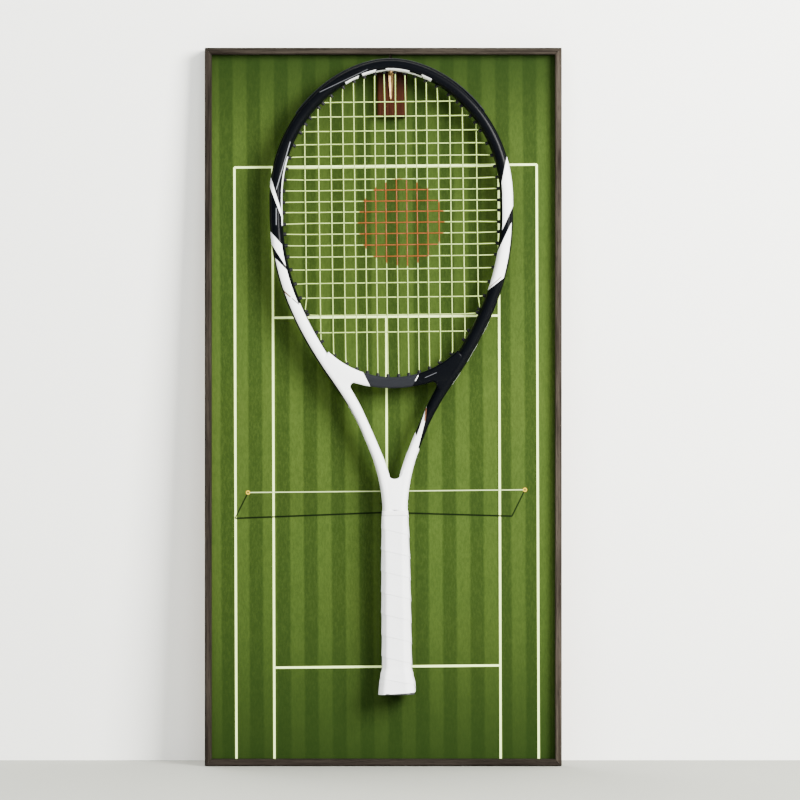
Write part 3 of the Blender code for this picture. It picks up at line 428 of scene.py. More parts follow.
class Sheet(Finish):
    """The print's finish. Its marks are distances in metres in the plane of the sheet."""

    def __init__(self, name):
        super().__init__(name, Specular_IOR_Level=0.02)
        self.x, _, self.z = self.axes()

    def tilt_lines(self):
        """Turns the axes for the lines and the rows, which do not lie quite square."""
        self.x, self.z = self.x + self.z * LINE_TILT, self.z - self.x * ROW_TILT

    def box(self, low, high):
        """A distance that is above 0 inside a box of (x, z) corners."""
        across = (self.x - low[0]) & (high[0] - self.x)
        return across & (self.z - low[1]) & (high[1] - self.z)

    def stroke(self, start, stop, half):
        """A distance that is above 0 on a straight stroke between two places."""
        run = Vector(stop) - Vector(start)
        way = run.normalized()
        ahead = (self.x - start[0]) * way.x + (self.z - start[1]) * way.y
        aside = (self.x - start[0]) * -way.y + (self.z - start[1]) * way.x
        return (half - abs(aside)) & ahead & (run.length - ahead)


print(f"the net is {POSTS[1][0] - POSTS[0][0]:.3f} m wide on the print")

# %% Grass and white lines
def mown_grass(sheet, blades):
    """Two greens in bands, with tufts and blades, darker below, and with painted shade at the top."""
    wobble = (sheet.noise(9, 3, (1, 1, 0.35)) - 0.5) * 0.0025
    place = sheet.x + sheet.z * BAND_TILT + wobble - BAND_MIDDLE
    band = (-(place * (2 * math.pi / BAND_PITCH)).math("COSINE")).step(0.5)
    tufts = sheet.noise(95, 4, (1, 1, 0.5), 0.6)
    cloud = sheet.noise(7, 3)
    green = sheet.mix(band, (0.0167, 0.0333, 0.0052), (0.0365, 0.0640, 0.0105))
    yellow = sheet.mix(band, (0.0245, 0.0400, 0.0055), (0.0470, 0.0710, 0.0115))
    grass = sheet.mix((cloud - 0.45).step(0.5) * 0.6, green, yellow)
    lower, lowest = (-0.62 - sheet.z).step(0.5), (-0.70 - sheet.z).step(0.14)
    # Painted shade: the top rail and the hoop's top shade the upper part of the print.
    upper = (sheet.z + 0.27).step(0.55) * 0.4 | (sheet.z + 0.075).step(0.16) * 0.92
    for share, colour in (
        ((tufts - 0.5).step(0.5) * 0.22, (0.0123, 0.0247, 0.0038)),
        ((blades - 0.56).step(0.2) * 0.2, (0.070, 0.103, 0.020)),
        ((0.44 - blades).step(0.2) * 0.22, (0.0073, 0.0152, 0.002)),
        (lower * 0.8, (0.007, 0.0165, 0.0025)),
        (lowest * 0.6, (0.007, 0.0165, 0.0025)),
        (upper, (0.006, 0.0145, 0.0022)),
    ):
        grass = sheet.mix(share, grass, colour)
    return grass


def white_lines(sheet):
    """A distance that is above 0 on every white line of the court."""
    marks = sheet.box((OUTER_X[0], BASELINE_Z - LINE_HALF), (OUTER_X[1], BASELINE_Z + LINE_HALF))
    for x in OUTER_X + INNER_X:
        marks = marks | sheet.box((x - LINE_HALF, SHEET_BOTTOM), (x + LINE_HALF, BASELINE_Z))
    for z in SERVICE_Z:
        marks = marks | sheet.box((INNER_X[0], z - LINE_HALF), (INNER_X[1], z + LINE_HALF))
    centre = (CENTRE_X - LINE_HALF, SERVICE_Z[1]), (CENTRE_X + LINE_HALF, SERVICE_Z[0])
    return marks | sheet.box(*centre)


print(f"{len(OUTER_X + INNER_X)} lines run down the court")

# %% Net, posts and the whole print
def with_net(sheet, grass):
    """The shadows of the net, its strap and its posts, then its cord and the posts' round heads."""
    low_left, low_right = POST_SHADOWS
    middle = ((low_left[0] + low_right[0]) / 2 + SHADOW_DIP[0], low_left[1] + SHADOW_DIP[1])
    shadow = sheet.stroke(low_left, middle, 0.9 * MM) | sheet.stroke(middle, low_right, 0.9 * MM)
    for post, foot in zip(POSTS, POST_SHADOWS):
        shadow = shadow | sheet.stroke(post, foot, 0.7 * MM)
    strap_foot = (STRAP[0] - 12 * MM, NET_Z - 14 * MM)
    shadow = shadow | sheet.stroke(STRAP, strap_foot, 0.5 * MM)
    mesh_shade = sheet.box((low_left[0] + 6 * MM, low_left[1]), (low_right[0] + 6 * MM, NET_Z))
    grass = sheet.mix(mesh_shade.step(4 * MM) * 0.16, grass, (0.007, 0.013, 0.002))
    grass = sheet.mix(shadow.step(INK_EDGE) * 0.95, grass, (0.0015, 0.004, 0.0007))
    cord = sheet.stroke(POSTS[0], POSTS[1], 0.5 * MM)
    grass = sheet.mix(cord.step(INK_EDGE) * 0.9, grass, (0.42, 0.52, 0.22))
    for post_x, post_z in POSTS:
        x, z = sheet.x - post_x, sheet.z - post_z
        far = (x * x + z * z).math("SQRT")
        grass = sheet.mix((2.3 * MM - far).step(INK_EDGE), grass, (0.40, 0.26, 0.015))
        grass = sheet.mix((1.0 * MM - far).step(INK_EDGE), grass, (0.03, 0.05, 0.008))
    return grass


def court_print():
    sheet = Sheet("court_print")
    blades = sheet.noise(620, 5, (1, 1, 0.35), 0.75)
    grass = mown_grass(sheet, blades)
    sheet.tilt_lines()
    chalk = sheet.mix(blades, (0.60, 0.84, 0.24), (0.84, 1.0, 0.40))
    grass = sheet.mix(white_lines(sheet).step(INK_EDGE) * 0.96, grass, chalk)
    paper = sheet.noise(1500, 3)
    return sheet.surface(with_net(sheet, grass), 0.48 + paper * 0.14, paper, 0.02 * MM)


COURT_PRINT = court_print()
print(f"{len(COURT_PRINT.node_tree.nodes)} nodes draw the court")

# %% [markdown]
# The racket's frame is one moulding that follows a hairpin: over the top of the hoop, down each
# side, in at the throat and down both arms into the handle. The racket leans a little on its pin,
# so all its pieces are drawn upright, from the hoop's top downwards, and one matrix hangs them.

# %% Sizes and place of the racket
WALL_HALF = 6.6 * MM
BEAM_HALF = 12 * MM
TOP_SCALE = 0.93
SIDE_SCALE = 1.06
ARM_SCALE = 0.81
NECK_SCALES = (SIDE_SCALE, 0.91, 0.78, ARM_SCALE)
SHAFT_SCALE = 1.08
PIN = (8.1 * MM, -26.5 * MM)
PIN_RADIUS = 1.7 * MM
GAP = 0.3 * MM
PIN_BELOW_TOP = 2 * WALL_HALF * TOP_SCALE + GAP + PIN_RADIUS
RACKET_ASIDE = -1.2 * MM
RACKET_Y = -37.66 * MM
LEAN = math.radians(-0.7)
HANG = Matrix.Translation((PIN[0], RACKET_Y, PIN[1])) @ Matrix.Rotation(LEAN, 4, "Y")
HANG = HANG @ Matrix.Translation((RACKET_ASIDE, 0, PIN_BELOW_TOP))
TO_FRONT = Matrix.Rotation(math.radians(90), 4, "X")
LEG_END = -668 * MM
print(f"the pin's middle is {PIN_BELOW_TOP / MM:.1f} mm below the top of the hoop")

# %% [markdown]
# A few Bezier stretches and a straight leg hold the hairpin's line. A curve object could hold it
# too, but the strings and the grommets have questions for it, such as where along the hoop a string
# leaves. So it is a small class with a running distance, which finds any place on the line.

# %% The racket's line
def share_of(values, share):
    """Reads a run of evenly spaced values at a share of its length."""
    place = share * (len(values) - 1)
    index = min(int(place), len(values) - 2)
    return values[index] + (values[index + 1] - values[index]) * (place - index)


class Hairpin:
    """The middle line of the hoop's right half, with its section's scale at each point."""

    def __init__(self):
        def towards(point, degrees, reach):
            slope = math.radians(degrees)
            return (point[0] - reach * math.sin(slope), point[1] - reach * math.cos(slope))

        top = (0, -WALL_HALF * TOP_SCALE / MM)
        side = (124.3, -150.5)
        throat = (65.2, -337.0)
        arm = (19.4, -425.0)
        shaft = (6.2, -486.0)
        stretches = (
            (top, (52, top[1]), (side[0], side[1] + 90), side, (TOP_SCALE, SIDE_SCALE), 58),
            (side, (side[0], side[1] - 41), towards(throat, 34, -110), throat, (SIDE_SCALE,) * 2, 54),
            (throat, towards(throat, 34, 45), towards(arm, 22, -45), arm, NECK_SCALES, 31),
            (arm, towards(arm, 22, 24), (shaft[0], shaft[1] + 12), shaft, (ARM_SCALE, SHAFT_SCALE), 22),
        )
        self.points = []
        self.scales = []
        for *corners, scales, count in stretches:
            samples = interpolate_bezier(*[Vector((x, z)) for x, z in corners], count)
            for i in range(1 if self.points else 0, count):
                self.points.append(samples[i] * MM)
                self.scales.append(share_of(scales, i / (count - 1)))
        self.hoop_end = len(self.points)
        for x, z, scale in ((5.75, -492, 0.99), (5.3, -500, 0.9), (4.6, -515, 0.76), (4.2, -530, 0.7)):
            self.points.append(Vector((x, z)) * MM)
            self.scales.append(scale)
        self.points.append(Vector((4.2 * MM, LEG_END)))
        self.scales.append(0.7)
        self.distances = [0.0]
        for before, after in zip(self.points, self.points[1:]):
            self.distances.append(self.distances[-1] + (after - before).length)

    def normal(self, index):
        before = self.points[max(index - 1, 0)]
        after = self.points[min(index + 1, len(self.points) - 1)]
        run = (after - before).normalized()
        return Vector((0, 1)) if index == 0 else Vector((-run.y, run.x))

    def at(self, distance):
        """The point, outward normal and scale at a distance along the line."""
        index = 0
        while index < len(self.points) - 2 and self.distances[index + 1] < distance:
            index += 1
        span = self.distances[index + 1] - self.distances[index]
        share = min(max((distance - self.distances[index]) / span, 0), 1)
        point = self.points[index].lerp(self.points[index + 1], share)
        normal = self.normal(index).lerp(self.normal(index + 1), share).normalized()
        scale = self.scales[index] + (self.scales[index + 1] - self.scales[index]) * share
        return point, normal, scale

    def beside(self, distance, offset):
        point, normal, scale = self.at(distance)
        return point + normal * offset * scale

    def where(self, offset, measure, start, stop, steps=300):
        """The distance at which measure(beside point) changes sign between start and stop."""
        low = start
        first = measure(self.beside(start, offset)) > 0
        for i in range(1, steps + 1):
            high = start + (stop - start) * i / steps
            if (measure(self.beside(high, offset)) > 0) != first:
                return (low + high) / 2
            low = high
        raise ValueError("the string misses the hoop")

    def nearest(self, point, steps=400):
        last = self.distances[self.hoop_end - 1]
        tries = [last * i / steps for i in range(steps + 1)]
        return min(tries, key=lambda distance: (self.at(distance)[0] - point).length)

    def stations(self, start, stop):
        """Points, normals and scales from one distance to another, with both ends."""
        inside = [d for d in self.distances if start + 1 * MM < d < stop - 1 * MM]
        return [self.at(d) for d in [start] + inside + [stop]]


HAIRPIN = Hairpin()
HOOP_LENGTH = HAIRPIN.distances[HAIRPIN.hoop_end - 1]
SIDE_DISTANCE = HAIRPIN.where(0, lambda p: p.y + 150.5 * MM, 0, 0.3)
half_length = HAIRPIN.distances[-1]
print(f"half the hairpin is {half_length / MM:.0f} mm long, {HOOP_LENGTH / MM:.0f} of it in the hoop")

# %% [markdown]
# Many pieces here are one section drawn along a path: the moulding, its bumper and strips, both
# strings and the rings of the hangers. One Geometry Nodes tree does all of them. The path is a
# string of mesh edges that carries a scale at each point, and the section is a closed loop. Named
# attributes survive the sweep, so the paint can later ask how far out from the line a place is.

# %% A tree that sweeps a section along a path
def open_tree(name, **inputs):
    """A new tree with its inputs: the graph that fills it, and the inputs as wires."""
    tree = bpy.data.node_groups.new(name, "GeometryNodeTree")
    tree.interface.new_socket("Geometry", in_out="OUTPUT", socket_type="NodeSocketGeometry")
    for title, kind in {"Geometry": "Geometry", "Material": "Material", **inputs}.items():
        title = title.replace("_", " ")
        tree.interface.new_socket(title, in_out="INPUT", socket_type="NodeSocket" + kind)
    graph = Graph(tree)
    start = tree.nodes.new("NodeGroupInput")
    return graph, {socket.name: Wire(graph, socket) for socket in start.outputs if socket.name}


def close_tree(graph, geometry, material):
    """The last nodes of each tree: real mesh in place of instances, and its finish."""
    real = graph.node("GeometryNodeRealizeInstances", {}, {"Geometry": geometry})
    done = graph.node("GeometryNodeSetMaterial", {}, {"Geometry": real, "Material": material})
    end = graph.tree.nodes.new("NodeGroupOutput")
    graph.tree.links.new(done.socket, end.inputs[0])
    return graph.tree


def named(graph, name, kind="FLOAT"):
    return graph.node("GeometryNodeInputNamedAttribute", {"data_type": kind}, {"Name": name})


def sweep_tree():
    graph, given = open_tree("swept_section", Section="Object", Curved="Bool", Spacing="Float")
    path = graph.node("GeometryNodeMeshToCurve", {}, {"Mesh": given["Geometry"]})
    bent = graph.node("GeometryNodeCurveSplineType", {"spline_type": "CATMULL_ROM"}, {"Curve": path})
    even = graph.node(
        "GeometryNodeResampleCurve", {"mode": "LENGTH"}, {"Curve": bent, "Length": given["Spacing"]}
    )
    path = graph.node(
        "GeometryNodeSwitch", {"input_type": "GEOMETRY"}, {0: given["Curved"], 1: path, 2: even}
    )
    sized = graph.node("GeometryNodeObjectInfo", {}, {"Object": given["Section"]}, out=4)
    section = graph.node("GeometryNodeMeshToCurve", {}, {"Mesh": sized})
    swept = graph.node(
        "GeometryNodeCurveToMesh",
        {},
        {"Curve": path, "Profile Curve": section, "Scale": named(graph, "size"), "Fill Caps": True},
    )
    outward = named(graph, "outward", "FLOAT_VECTOR")
    lift = named(graph, "fill") * named(graph, "groove")
    offset = graph.node("ShaderNodeVectorMath", {"operation": "SCALE"}, {0: outward, "Scale": lift})
    moved = graph.node("GeometryNodeSetPosition", {}, {"Geometry": swept, "Offset": offset})
    smooth = graph.node("GeometryNodeSetShadeSmooth", {}, {"Geometry": moved, "Shade Smooth": True})
    return close_tree(graph, smooth, given["Material"])


SWEEP = sweep_tree()
print("the sweep takes", [item.name for item in SWEEP.interface.items_tree if item.in_out == "INPUT"])

# %% [markdown]
# A tree works on an object. So each path becomes a mesh of bare edges that carries its numbers,
# gets the tree as a modifier, and is read back as a plain mesh. After that a piece can be cut,
# mirrored and welded like any other mesh.

# %% From a path to a mesh
def loop_mesh(name, points, closed, attributes=None):
    """A line of mesh edges through the points, with numbers or vectors on its points."""
    data = bpy.data.meshes.new(name)
    edges = [(i, i + 1) for i in range(len(points) - 1)]
    if closed:
        edges.append((len(points) - 1, 0))
    data.from_pydata([tuple(point) for point in points], edges, [])
    for key, values in (attributes or {}).items():
        vector = hasattr(values[0], "__len__")
        made = data.attributes.new(key, "FLOAT_VECTOR" if vector else "FLOAT", "POINT")
        flat_values = [number for value in values for number in value] if vector else values
        made.data.foreach_set("vector" if vector else "value", flat_values)
    return add_object(name, data)


def run_tree(obj, tree, inputs, name):
    """Gives a tree its inputs by their identifiers, and turns what it makes into a plain mesh."""
    modifier = obj.modifiers.new("nodes", "NODES")
    modifier.node_group = tree
    for item in tree.interface.items_tree:
        if item.in_out == "INPUT" and item.name in inputs:
            modifier[item.identifier] = inputs[item.name]
    return plain(obj, name)


def plain(obj, name, weld=1e-6):
    """The evaluated object as a welded mesh object of its own. The source is removed."""
    bpy.context.view_layer.update()
    evaluated = obj.evaluated_get(bpy.context.evaluated_depsgraph_get())
    data = bpy.data.meshes.new_from_object(evaluated)
    data.name = name
    bm = bmesh.new()
    bm.from_mesh(data)
    bmesh.ops.remove_doubles(bm, verts=bm.verts, dist=weld)
    bmesh.ops.recalc_face_normals(bm, faces=bm.faces)
    bm.to_mesh(data)
    bm.free()
    bpy.data.objects.remove(obj)
    return add_object(name, data)


def swept(name, points, section, material, sizes=None, extra=None, section_extra=None, **options):
    """The section drawn along the points. A size at each point scales it."""
    path_values = {"size": sizes or [1.0] * len(points), **(extra or {})}
    path = loop_mesh(name + "_path", points, options.get("closed", False), path_values)
    loop = loop_mesh(name + "_section", section, True, section_extra)
    inputs = {
        "Section": loop,
        "Material": material,
        "Curved": options.get("curved", False),
        "Spacing": options.get("spacing", 2 * MM),
    }
    made = run_tree(path, SWEEP, inputs, name)
    bpy.data.objects.remove(loop)
    return made


def circle(radius, count):
    angles = [2 * math.pi * i / count for i in range(count)]
    return [(radius * math.cos(a), radius * math.sin(a), 0) for a in angles]


print(f"a circle of {len(circle(1, 8))} points is the string's section")

# %% [markdown]
# Each finished mesh is seated: moved into the rack's frame, tied to the body that it rides on when
# a joint moves, and its plain solid is hidden. Half a piece is mirrored first.

# %% Shading, mirroring and seating
def crease(obj, angle=40):
    obj.data.shade_smooth()
    obj.data.set_sharp_from_angle(angle=math.radians(angle))
    return obj


def seat(obj, matrix, body, slot, *nodes):
    """Moves a mesh into place, ties it to its body, and hides the solids it replaces; slot is unused."""
    obj.data.transform(matrix)
    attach(obj, body)
    if nodes:
        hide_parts(*nodes)
    print(f"{obj.name}: {len(obj.data.polygons)} faces")
    return obj


def mirrored(obj):
    """Mirrors a half across the racket's middle, and cuts it there so that the halves join."""
    mirror = obj.modifiers.new("halves", "MIRROR")
    mirror.use_axis = (True, False, False)
    mirror.use_bisect_axis = (True, False, False)
    mirror.bisect_threshold = 1e-6
    mirror.use_mirror_merge = True
    mirror.merge_threshold = 2e-5
    return plain(obj, obj.name)


print(f"the bodies to ride on: {sorted(BODIES)}")

# %% [markdown]
# The paint is black over the head and the right side and white down the left side, and slanting
# edges split them. A slanting edge is a straight line in the plane of the hoop, so each area is
# the overlap of a few half planes, measured in millimetres across and below the hoop's top. Thin
# stripes that follow the tube use the distance out from the tube's own middle instead.

# %% Racket paint
BLACK = (0.0012, 0.0015, 0.0022)
WHITE = (0.86, 0.87, 0.87)
GREY = (0.0105, 0.0112, 0.0135)
COPPER = (0.13, 0.055, 0.028)
SILVER = (0.16, 0.165, 0.18)
PAINT_EDGE = 0.25
TOP_BAND = ((-48, -33, 4.9), (-30, -14.5, 4.2), (-4.2, 21.6, 4.3), (34.5, 45.5, 4.0), (-15, 35, 5.75))


class Paint(Finish):
    """A clear-coated paint whose areas are set out in the racket's own plane."""

    def __init__(self, name, coat=0.03, coat_roughness=0.12):
        constants = {"Coat_Weight": coat, "Coat_Roughness": coat_roughness}
        super().__init__(name, Specular_IOR_Level=0.03, **constants)
        back, turn = HANG.to_translation(), (0, LEAN, 0)
        sockets = {"Vector": self.place, "Location": back, "Rotation": turn}
        upright = self.node("ShaderNodeMapping", {"vector_type": "TEXTURE"}, sockets)
        x, _, z = self.axes(upright)
        self.x = x * (1 / MM)
        self.down = z * (-1 / MM)

    def right_of(self, first, second):
        """A distance that is above 0 on the right of the way from one point to another."""
        run = Vector(second) - Vector(first)
        run.normalize()
        return self.x * -run.y + self.down * run.x + (first[0] * run.y - first[1] * run.x)

    def left_of(self, first, second):
        return -self.right_of(first, second)

    def stripe(self, first, second, half):
        """A distance that is above 0 on a stripe between two points."""
        run = Vector(second) - Vector(first)
        way = run.normalized()
        aside = self.right_of(first, second)
        ahead = self.x * way.x + self.down * way.y - (first[0] * way.x + first[1] * way.y)
        return (half - abs(aside)) & ahead & (run.length - ahead)

    def between(self, low, high):
        return (self.down - low) & (high - self.down)

    def lacquered(self, colour):
        peel = self.noise(420, 2)
        dust = self.noise(2400, 3)
        worn = self.noise(36, 4)
        rough = 0.34 + (worn - 0.5) * 0.14 + (dust - 0.5) * 0.06
        return self.surface(colour, rough, peel + dust * 0.15, 0.03 * MM)


print(f"{len(TOP_BAND)} white pieces lie along the inside of the hoop's top")

# %% Where the hoop is white
def white_areas(paint, out):
    """The left side with its stripe and flash, two areas on the right, and the right arm's wedge."""
    left, right = -paint.x, paint.x
    white = left & paint.right_of((-131.3, 183.4), (-119.4, 197.3))
    white = white & (out + 3.9)
    stripe = paint.right_of((-130.5, 196.4), (-113.1, 223.6))
    stripe = stripe & paint.left_of((-128.7, 209.7), (-112.5, 226.9)) & left
    white = (white & -stripe) | (left & (paint.down - 262))
    flash = paint.right_of((-128.0, 130.2), (-119.4, 159.2))
    flash = flash & paint.left_of((-129.1, 139.9), (-121.9, 159.2)) & left & (176 - paint.down)
    white = white | (flash & (paint.down - 126))

    upper = paint.right_of((119.1, 135.0), (124.7, 108.8)) & (out + 4.2)
    upper = upper & paint.left_of((115.0, 194.9), (127.9, 167.1))
    lower = paint.right_of((118.3, 200.0), (131.6, 173.1)) & (4.9 - out)
    lower = lower & paint.left_of((102.0, 251.0), (118.4, 238.7)) & (paint.down - 150)
    white = white | (right & (upper | lower))

    wedge = paint.right_of((24.3, 406.7), (35.4, 374.3))
    wedge = wedge & (paint.left_of((33.1, 392.2), (35.4, 374.3)) | (paint.down - 392.2))
    wedge = wedge & paint.left_of((25.8, 419.0), (33.1, 392.2))
    under = paint.right_of((21.7, 397.6), (24.3, 406.7)) & (paint.down - 397.6)
    under = under & paint.left_of((25.8, 419.0), (33.1, 392.2))
    foot = paint.down - 419 - (paint.x - 25.8) * 1.2
    return white | (right & (wedge | under | foot))


def top_band(paint, out):
    """White pieces on the hoop's inside: where each starts and stops, and how far in it lies."""
    band = None
    for start, stop, edge in TOP_BAND:
        slant = (out + edge) * 0.5
        piece = (paint.x - start + slant) & (stop - paint.x + slant) & (-edge - out)
        band = piece if band is None else band | piece
    return band & (30 - paint.down)


def hoop_paint():
    """The areas first, then the thin lines over them in copper, black and silver, some of them painted
    light.
    """
    paint = Paint("hoop_paint")
    out = paint.attribute("out") * (1 / MM)
    left, right = -paint.x, paint.x
    colour = paint.mix(white_areas(paint, out).step(PAINT_EDGE), BLACK, WHITE)
    copper = paint.stripe((-120.8, 245.0), (-109.6, 255.3), 0.75)
    copper = copper | paint.stripe((33.2, 390.3), (34.9, 376.5), 0.8)
    copper = copper | paint.stripe((104.9, 247.3), (117.6, 236.2), 0.45)
    colour = paint.mix(copper.step(PAINT_EDGE), colour, COPPER)
    thin_black = paint.stripe((-108.1, 256.6), (-100.4, 263.4), 0.5)
    # Along the left arm's outer wall the black is the strip in the groove, and towards the throat painted
    # shade on the outer wall.
    edge_line = (out - 4.9) & (out - 4.9 - (paint.down - 345) * 0.025)
    thin_black = thin_black | (left & edge_line & paint.between(205, 405))
    thin_black = thin_black | (left & (-5.6 - out) & paint.between(255, 345))
    colour = paint.mix(thin_black.step(PAINT_EDGE), colour, BLACK)
    pin_line = paint.stripe((-107.8, 88.1), (-123.5, 139.4), 0.42)
    pin_line = pin_line | paint.stripe((-123.8, 159.2), (-124.0, 177.5), 0.4)
    colour = paint.mix(pin_line.step(PAINT_EDGE) * 0.8, colour, SILVER)
    # Painted highlight: a faint silver line where the window shines on the left shoulder.
    faint = paint.stripe((-75.7, 35.1), (-23.6, 11.1), 0.35)
    colour = paint.mix(faint.step(PAINT_EDGE) * 0.35, colour, SILVER)
    slivers = right & (out - 6.5) & paint.between(284, 352)
    gaps = paint.between(298, 308) | paint.between(327, 339)
    inner_white = (-5.5 - out) & (6.5 + out) & (left & paint.between(104, 178))
    colour = paint.mix(((slivers & -gaps) | inner_white).step(PAINT_EDGE), colour, WHITE)
    colour = paint.mix(top_band(paint, out).step(PAINT_EDGE), colour, WHITE)
    return paint.lacquered(colour)


def bridge_paint():
    paint = Paint("bridge_paint")
    dark = paint.left_of((-31.1, 340.2), (-26.4, 349.8)) & (30 - paint.x)
    colour = paint.mix(dark.step(PAINT_EDGE), WHITE, GREY)
    black = paint.left_of((26.9, 341.2), (23.6, 347.1))
    colour = paint.mix(black.step(PAINT_EDGE), colour, BLACK)
    sliver = paint.stripe((26.9, 341.2), (23.6, 347.1), 0.4)
    colour = paint.mix(sliver.step(PAINT_EDGE), colour, WHITE)
    line = paint.stripe((34.0, 343.8), (46.6, 338.5), 0.25)
    colour = paint.mix(line.step(PAINT_EDGE) * 0.5, colour, SILVER)
    return paint.lacquered(colour)


HOOP_PAINT = hoop_paint()
BRIDGE_PAINT = bridge_paint()
print(f"{len(HOOP_PAINT.node_tree.nodes)} nodes paint the hoop")

# %% [markdown]
# The moulding's section is a rounded box with a groove in its outer face, where the strings turn
# round. A Catmull-Rom line through a few corners rounds it. The groove runs out before the arms:
# the tree lifts the groove's floor by a number on the path that rises from 0 there.

# %% Hoop, arms and legs
SECTION_CORNERS = ((6.6, 3.6), (6.0, 7.6), (3.9, 10.9), (0.4, 12.0), (-3.2, 11.3), (-5.8, 8.2), (-6.6, 3.4))
GROOVE_FLOOR = 3.0 * MM
GROOVE_HALF = 3.4 * MM
GROOVE_FADE = 16 * MM
LAST_HOOP_MAIN = 51.3 * MM


def catmull_rom(p, q, r, s, t):
    """The value at a share t of the way from q to r, on a line that also heeds p and s."""
    square = 2 * p - 5 * q + 4 * r - s
    cube = 3 * q - p - 3 * r + s
    return 0.5 * (2 * q + (r - p) * t + square * t**2 + cube * t**3)


def rounded_line(corners, steps):
    """A Catmull-Rom line through the corners, from the first to the last."""
    line = []
    whole = [corners[0], *corners, corners[-1]]
    for four in zip(whole, whole[1:], whole[2:], whole[3:]):
        for i in range(steps):
            line.append(tuple(catmull_rom(*values, i / steps) for values in zip(*four)))
    return line + [tuple(corners[-1])]


def hoop_section():
    """Points as (outwards, across, on the groove's floor or not), from the groove's lip round."""
    half = list(SECTION_CORNERS)
    round_face = rounded_line(half + [(out, -across) for out, across in reversed(half)], 4)
    points = [(out * MM, across * MM, 0.0) for out, across in round_face]
    lip, floor = 6.45 * MM, GROOVE_FLOOR
    points += [(lip, -GROOVE_HALF, 0.0), (floor + 0.4 * MM, -GROOVE_HALF, 1.0)]
    points += [(floor, -GROOVE_HALF + 0.5 * MM, 1.0), (floor, GROOVE_HALF - 0.5 * MM, 1.0)]
    points += [(floor + 0.4 * MM, GROOVE_HALF, 1.0), (lip, GROOVE_HALF, 0.0)]
    return points


def half_path(stations, lead=True):
    """The path, sizes and outward ways of some stations, with a lead past the middle plane."""
    points = [(point.x, point.y, 0) for point, _, _ in stations]
    sizes = [scale for _, _, scale in stations]
    outward = [(normal.x, normal.y, 0) for _, normal, _ in stations]
    if lead:
        points.insert(0, (-4 * MM, points[0][1], 0))
        sizes.insert(0, sizes[0])
        outward.insert(0, (0, 1, 0))
    return points, sizes, outward


def flat_sweep(name, stations, section, material, fill=None, lead=True):
    """A sweep along the hairpin, stood up into the plane of the hoop."""
    points, sizes, outward = half_path(stations, lead)
    extra = {"outward": outward, "fill": fill or [0.0] * len(points)}
    loop = [(-out, across, 0) for out, across, _ in section]
    section_extra = {
        "out": [out for out, _, _ in section],
        "groove": [groove for _, _, groove in section],
    }
    made = swept(name, points, loop, material, sizes, extra, section_extra)
    made.data.transform(TO_FRONT)
    return mirrored(made) if lead else made


def last_port():
    """How far along the lowest string leaves that goes through the hoop, not through the bridge."""
    return HAIRPIN.where(-WALL_HALF, lambda p: p.x - LAST_HOOP_MAIN, SIDE_DISTANCE, HOOP_LENGTH)


print(f"{len(hoop_section())} points round the section")

# %% The moulding
GROOVE_END = last_port() + 9 * MM
ALL_STATIONS = HAIRPIN.stations(0, half_length)
station_distances = [d for d in HAIRPIN.distances if 1 * MM < d < half_length - 1 * MM]
station_distances = [0.0, 0.0] + station_distances + [half_length]
groove_fill = []
for distance, size in zip(station_distances, half_path(ALL_STATIONS)[1]):
    share = min(max((distance - GROOVE_END) / GROOVE_FADE, 0), 1)
    groove_fill.append((WALL_HALF - GROOVE_FLOOR - 0.2 * MM) * size * share)

hoop = flat_sweep("racket_frame_moulding", ALL_STATIONS, hoop_section(), HOOP_PAINT, groove_fill)
seat(crease(hoop), HANG, "racket", "lacquer", "racket_frame")

# %% [markdown]
# The bridge closes the hoop above the throat, and a web closes the crotch between the arms. Both
# are flat outlines with deeply rounded edges, so each is a 2D curve with an extrude and a bevel.
# Both are then thinned to the depth of the moulding beside them.

# %% Bridge and throat web
THROAT_RADIUS = 100 * MM
THROAT_CENTRE = -242.7 * MM
BRIDGE_UNDERSIDE = -354.7 * MM
UNDERSIDE_RADIUS = 143 * MM
BRIDGE_DEPTH = 2 * BEAM_HALF * SIDE_SCALE
WEB_DEPTH = BRIDGE_DEPTH - 0.4 * MM
FILLET = 4.3 * MM
CREST_ASIDE = 2.2 * MM


def throat_arc_z(x):
    return THROAT_CENTRE - math.sqrt(THROAT_RADIUS**2 - x**2)


def underside_z(x):
    return BRIDGE_UNDERSIDE + UNDERSIDE_RADIUS - math.sqrt(UNDERSIDE_RADIUS**2 - x**2)


def cushion_of(name, outline, depth, edge, material, rings=4):
    """A flat outline as a plate of some depth, with round edges drawn in from the outline."""
    curve = bpy.data.curves.new(name, "CURVE")
    curve.dimensions = "2D"
    curve.fill_mode = "BOTH"
    curve.extrude = depth / 2 - edge
    curve.bevel_depth = edge
    curve.bevel_resolution = rings
    curve.offset = -edge
    spline = curve.splines.new("POLY")
    spline.points.add(len(outline) - 1)
    for spot, (x, z) in zip(spline.points, outline):
        spot.co = (x, z, 0, 1)
    spline.use_cyclic_u = True
    curve.materials.append(material)
    made = plain(add_object(name, curve), name, 2e-5)
    made.data.transform(TO_FRONT)
    return crease(made, 50)


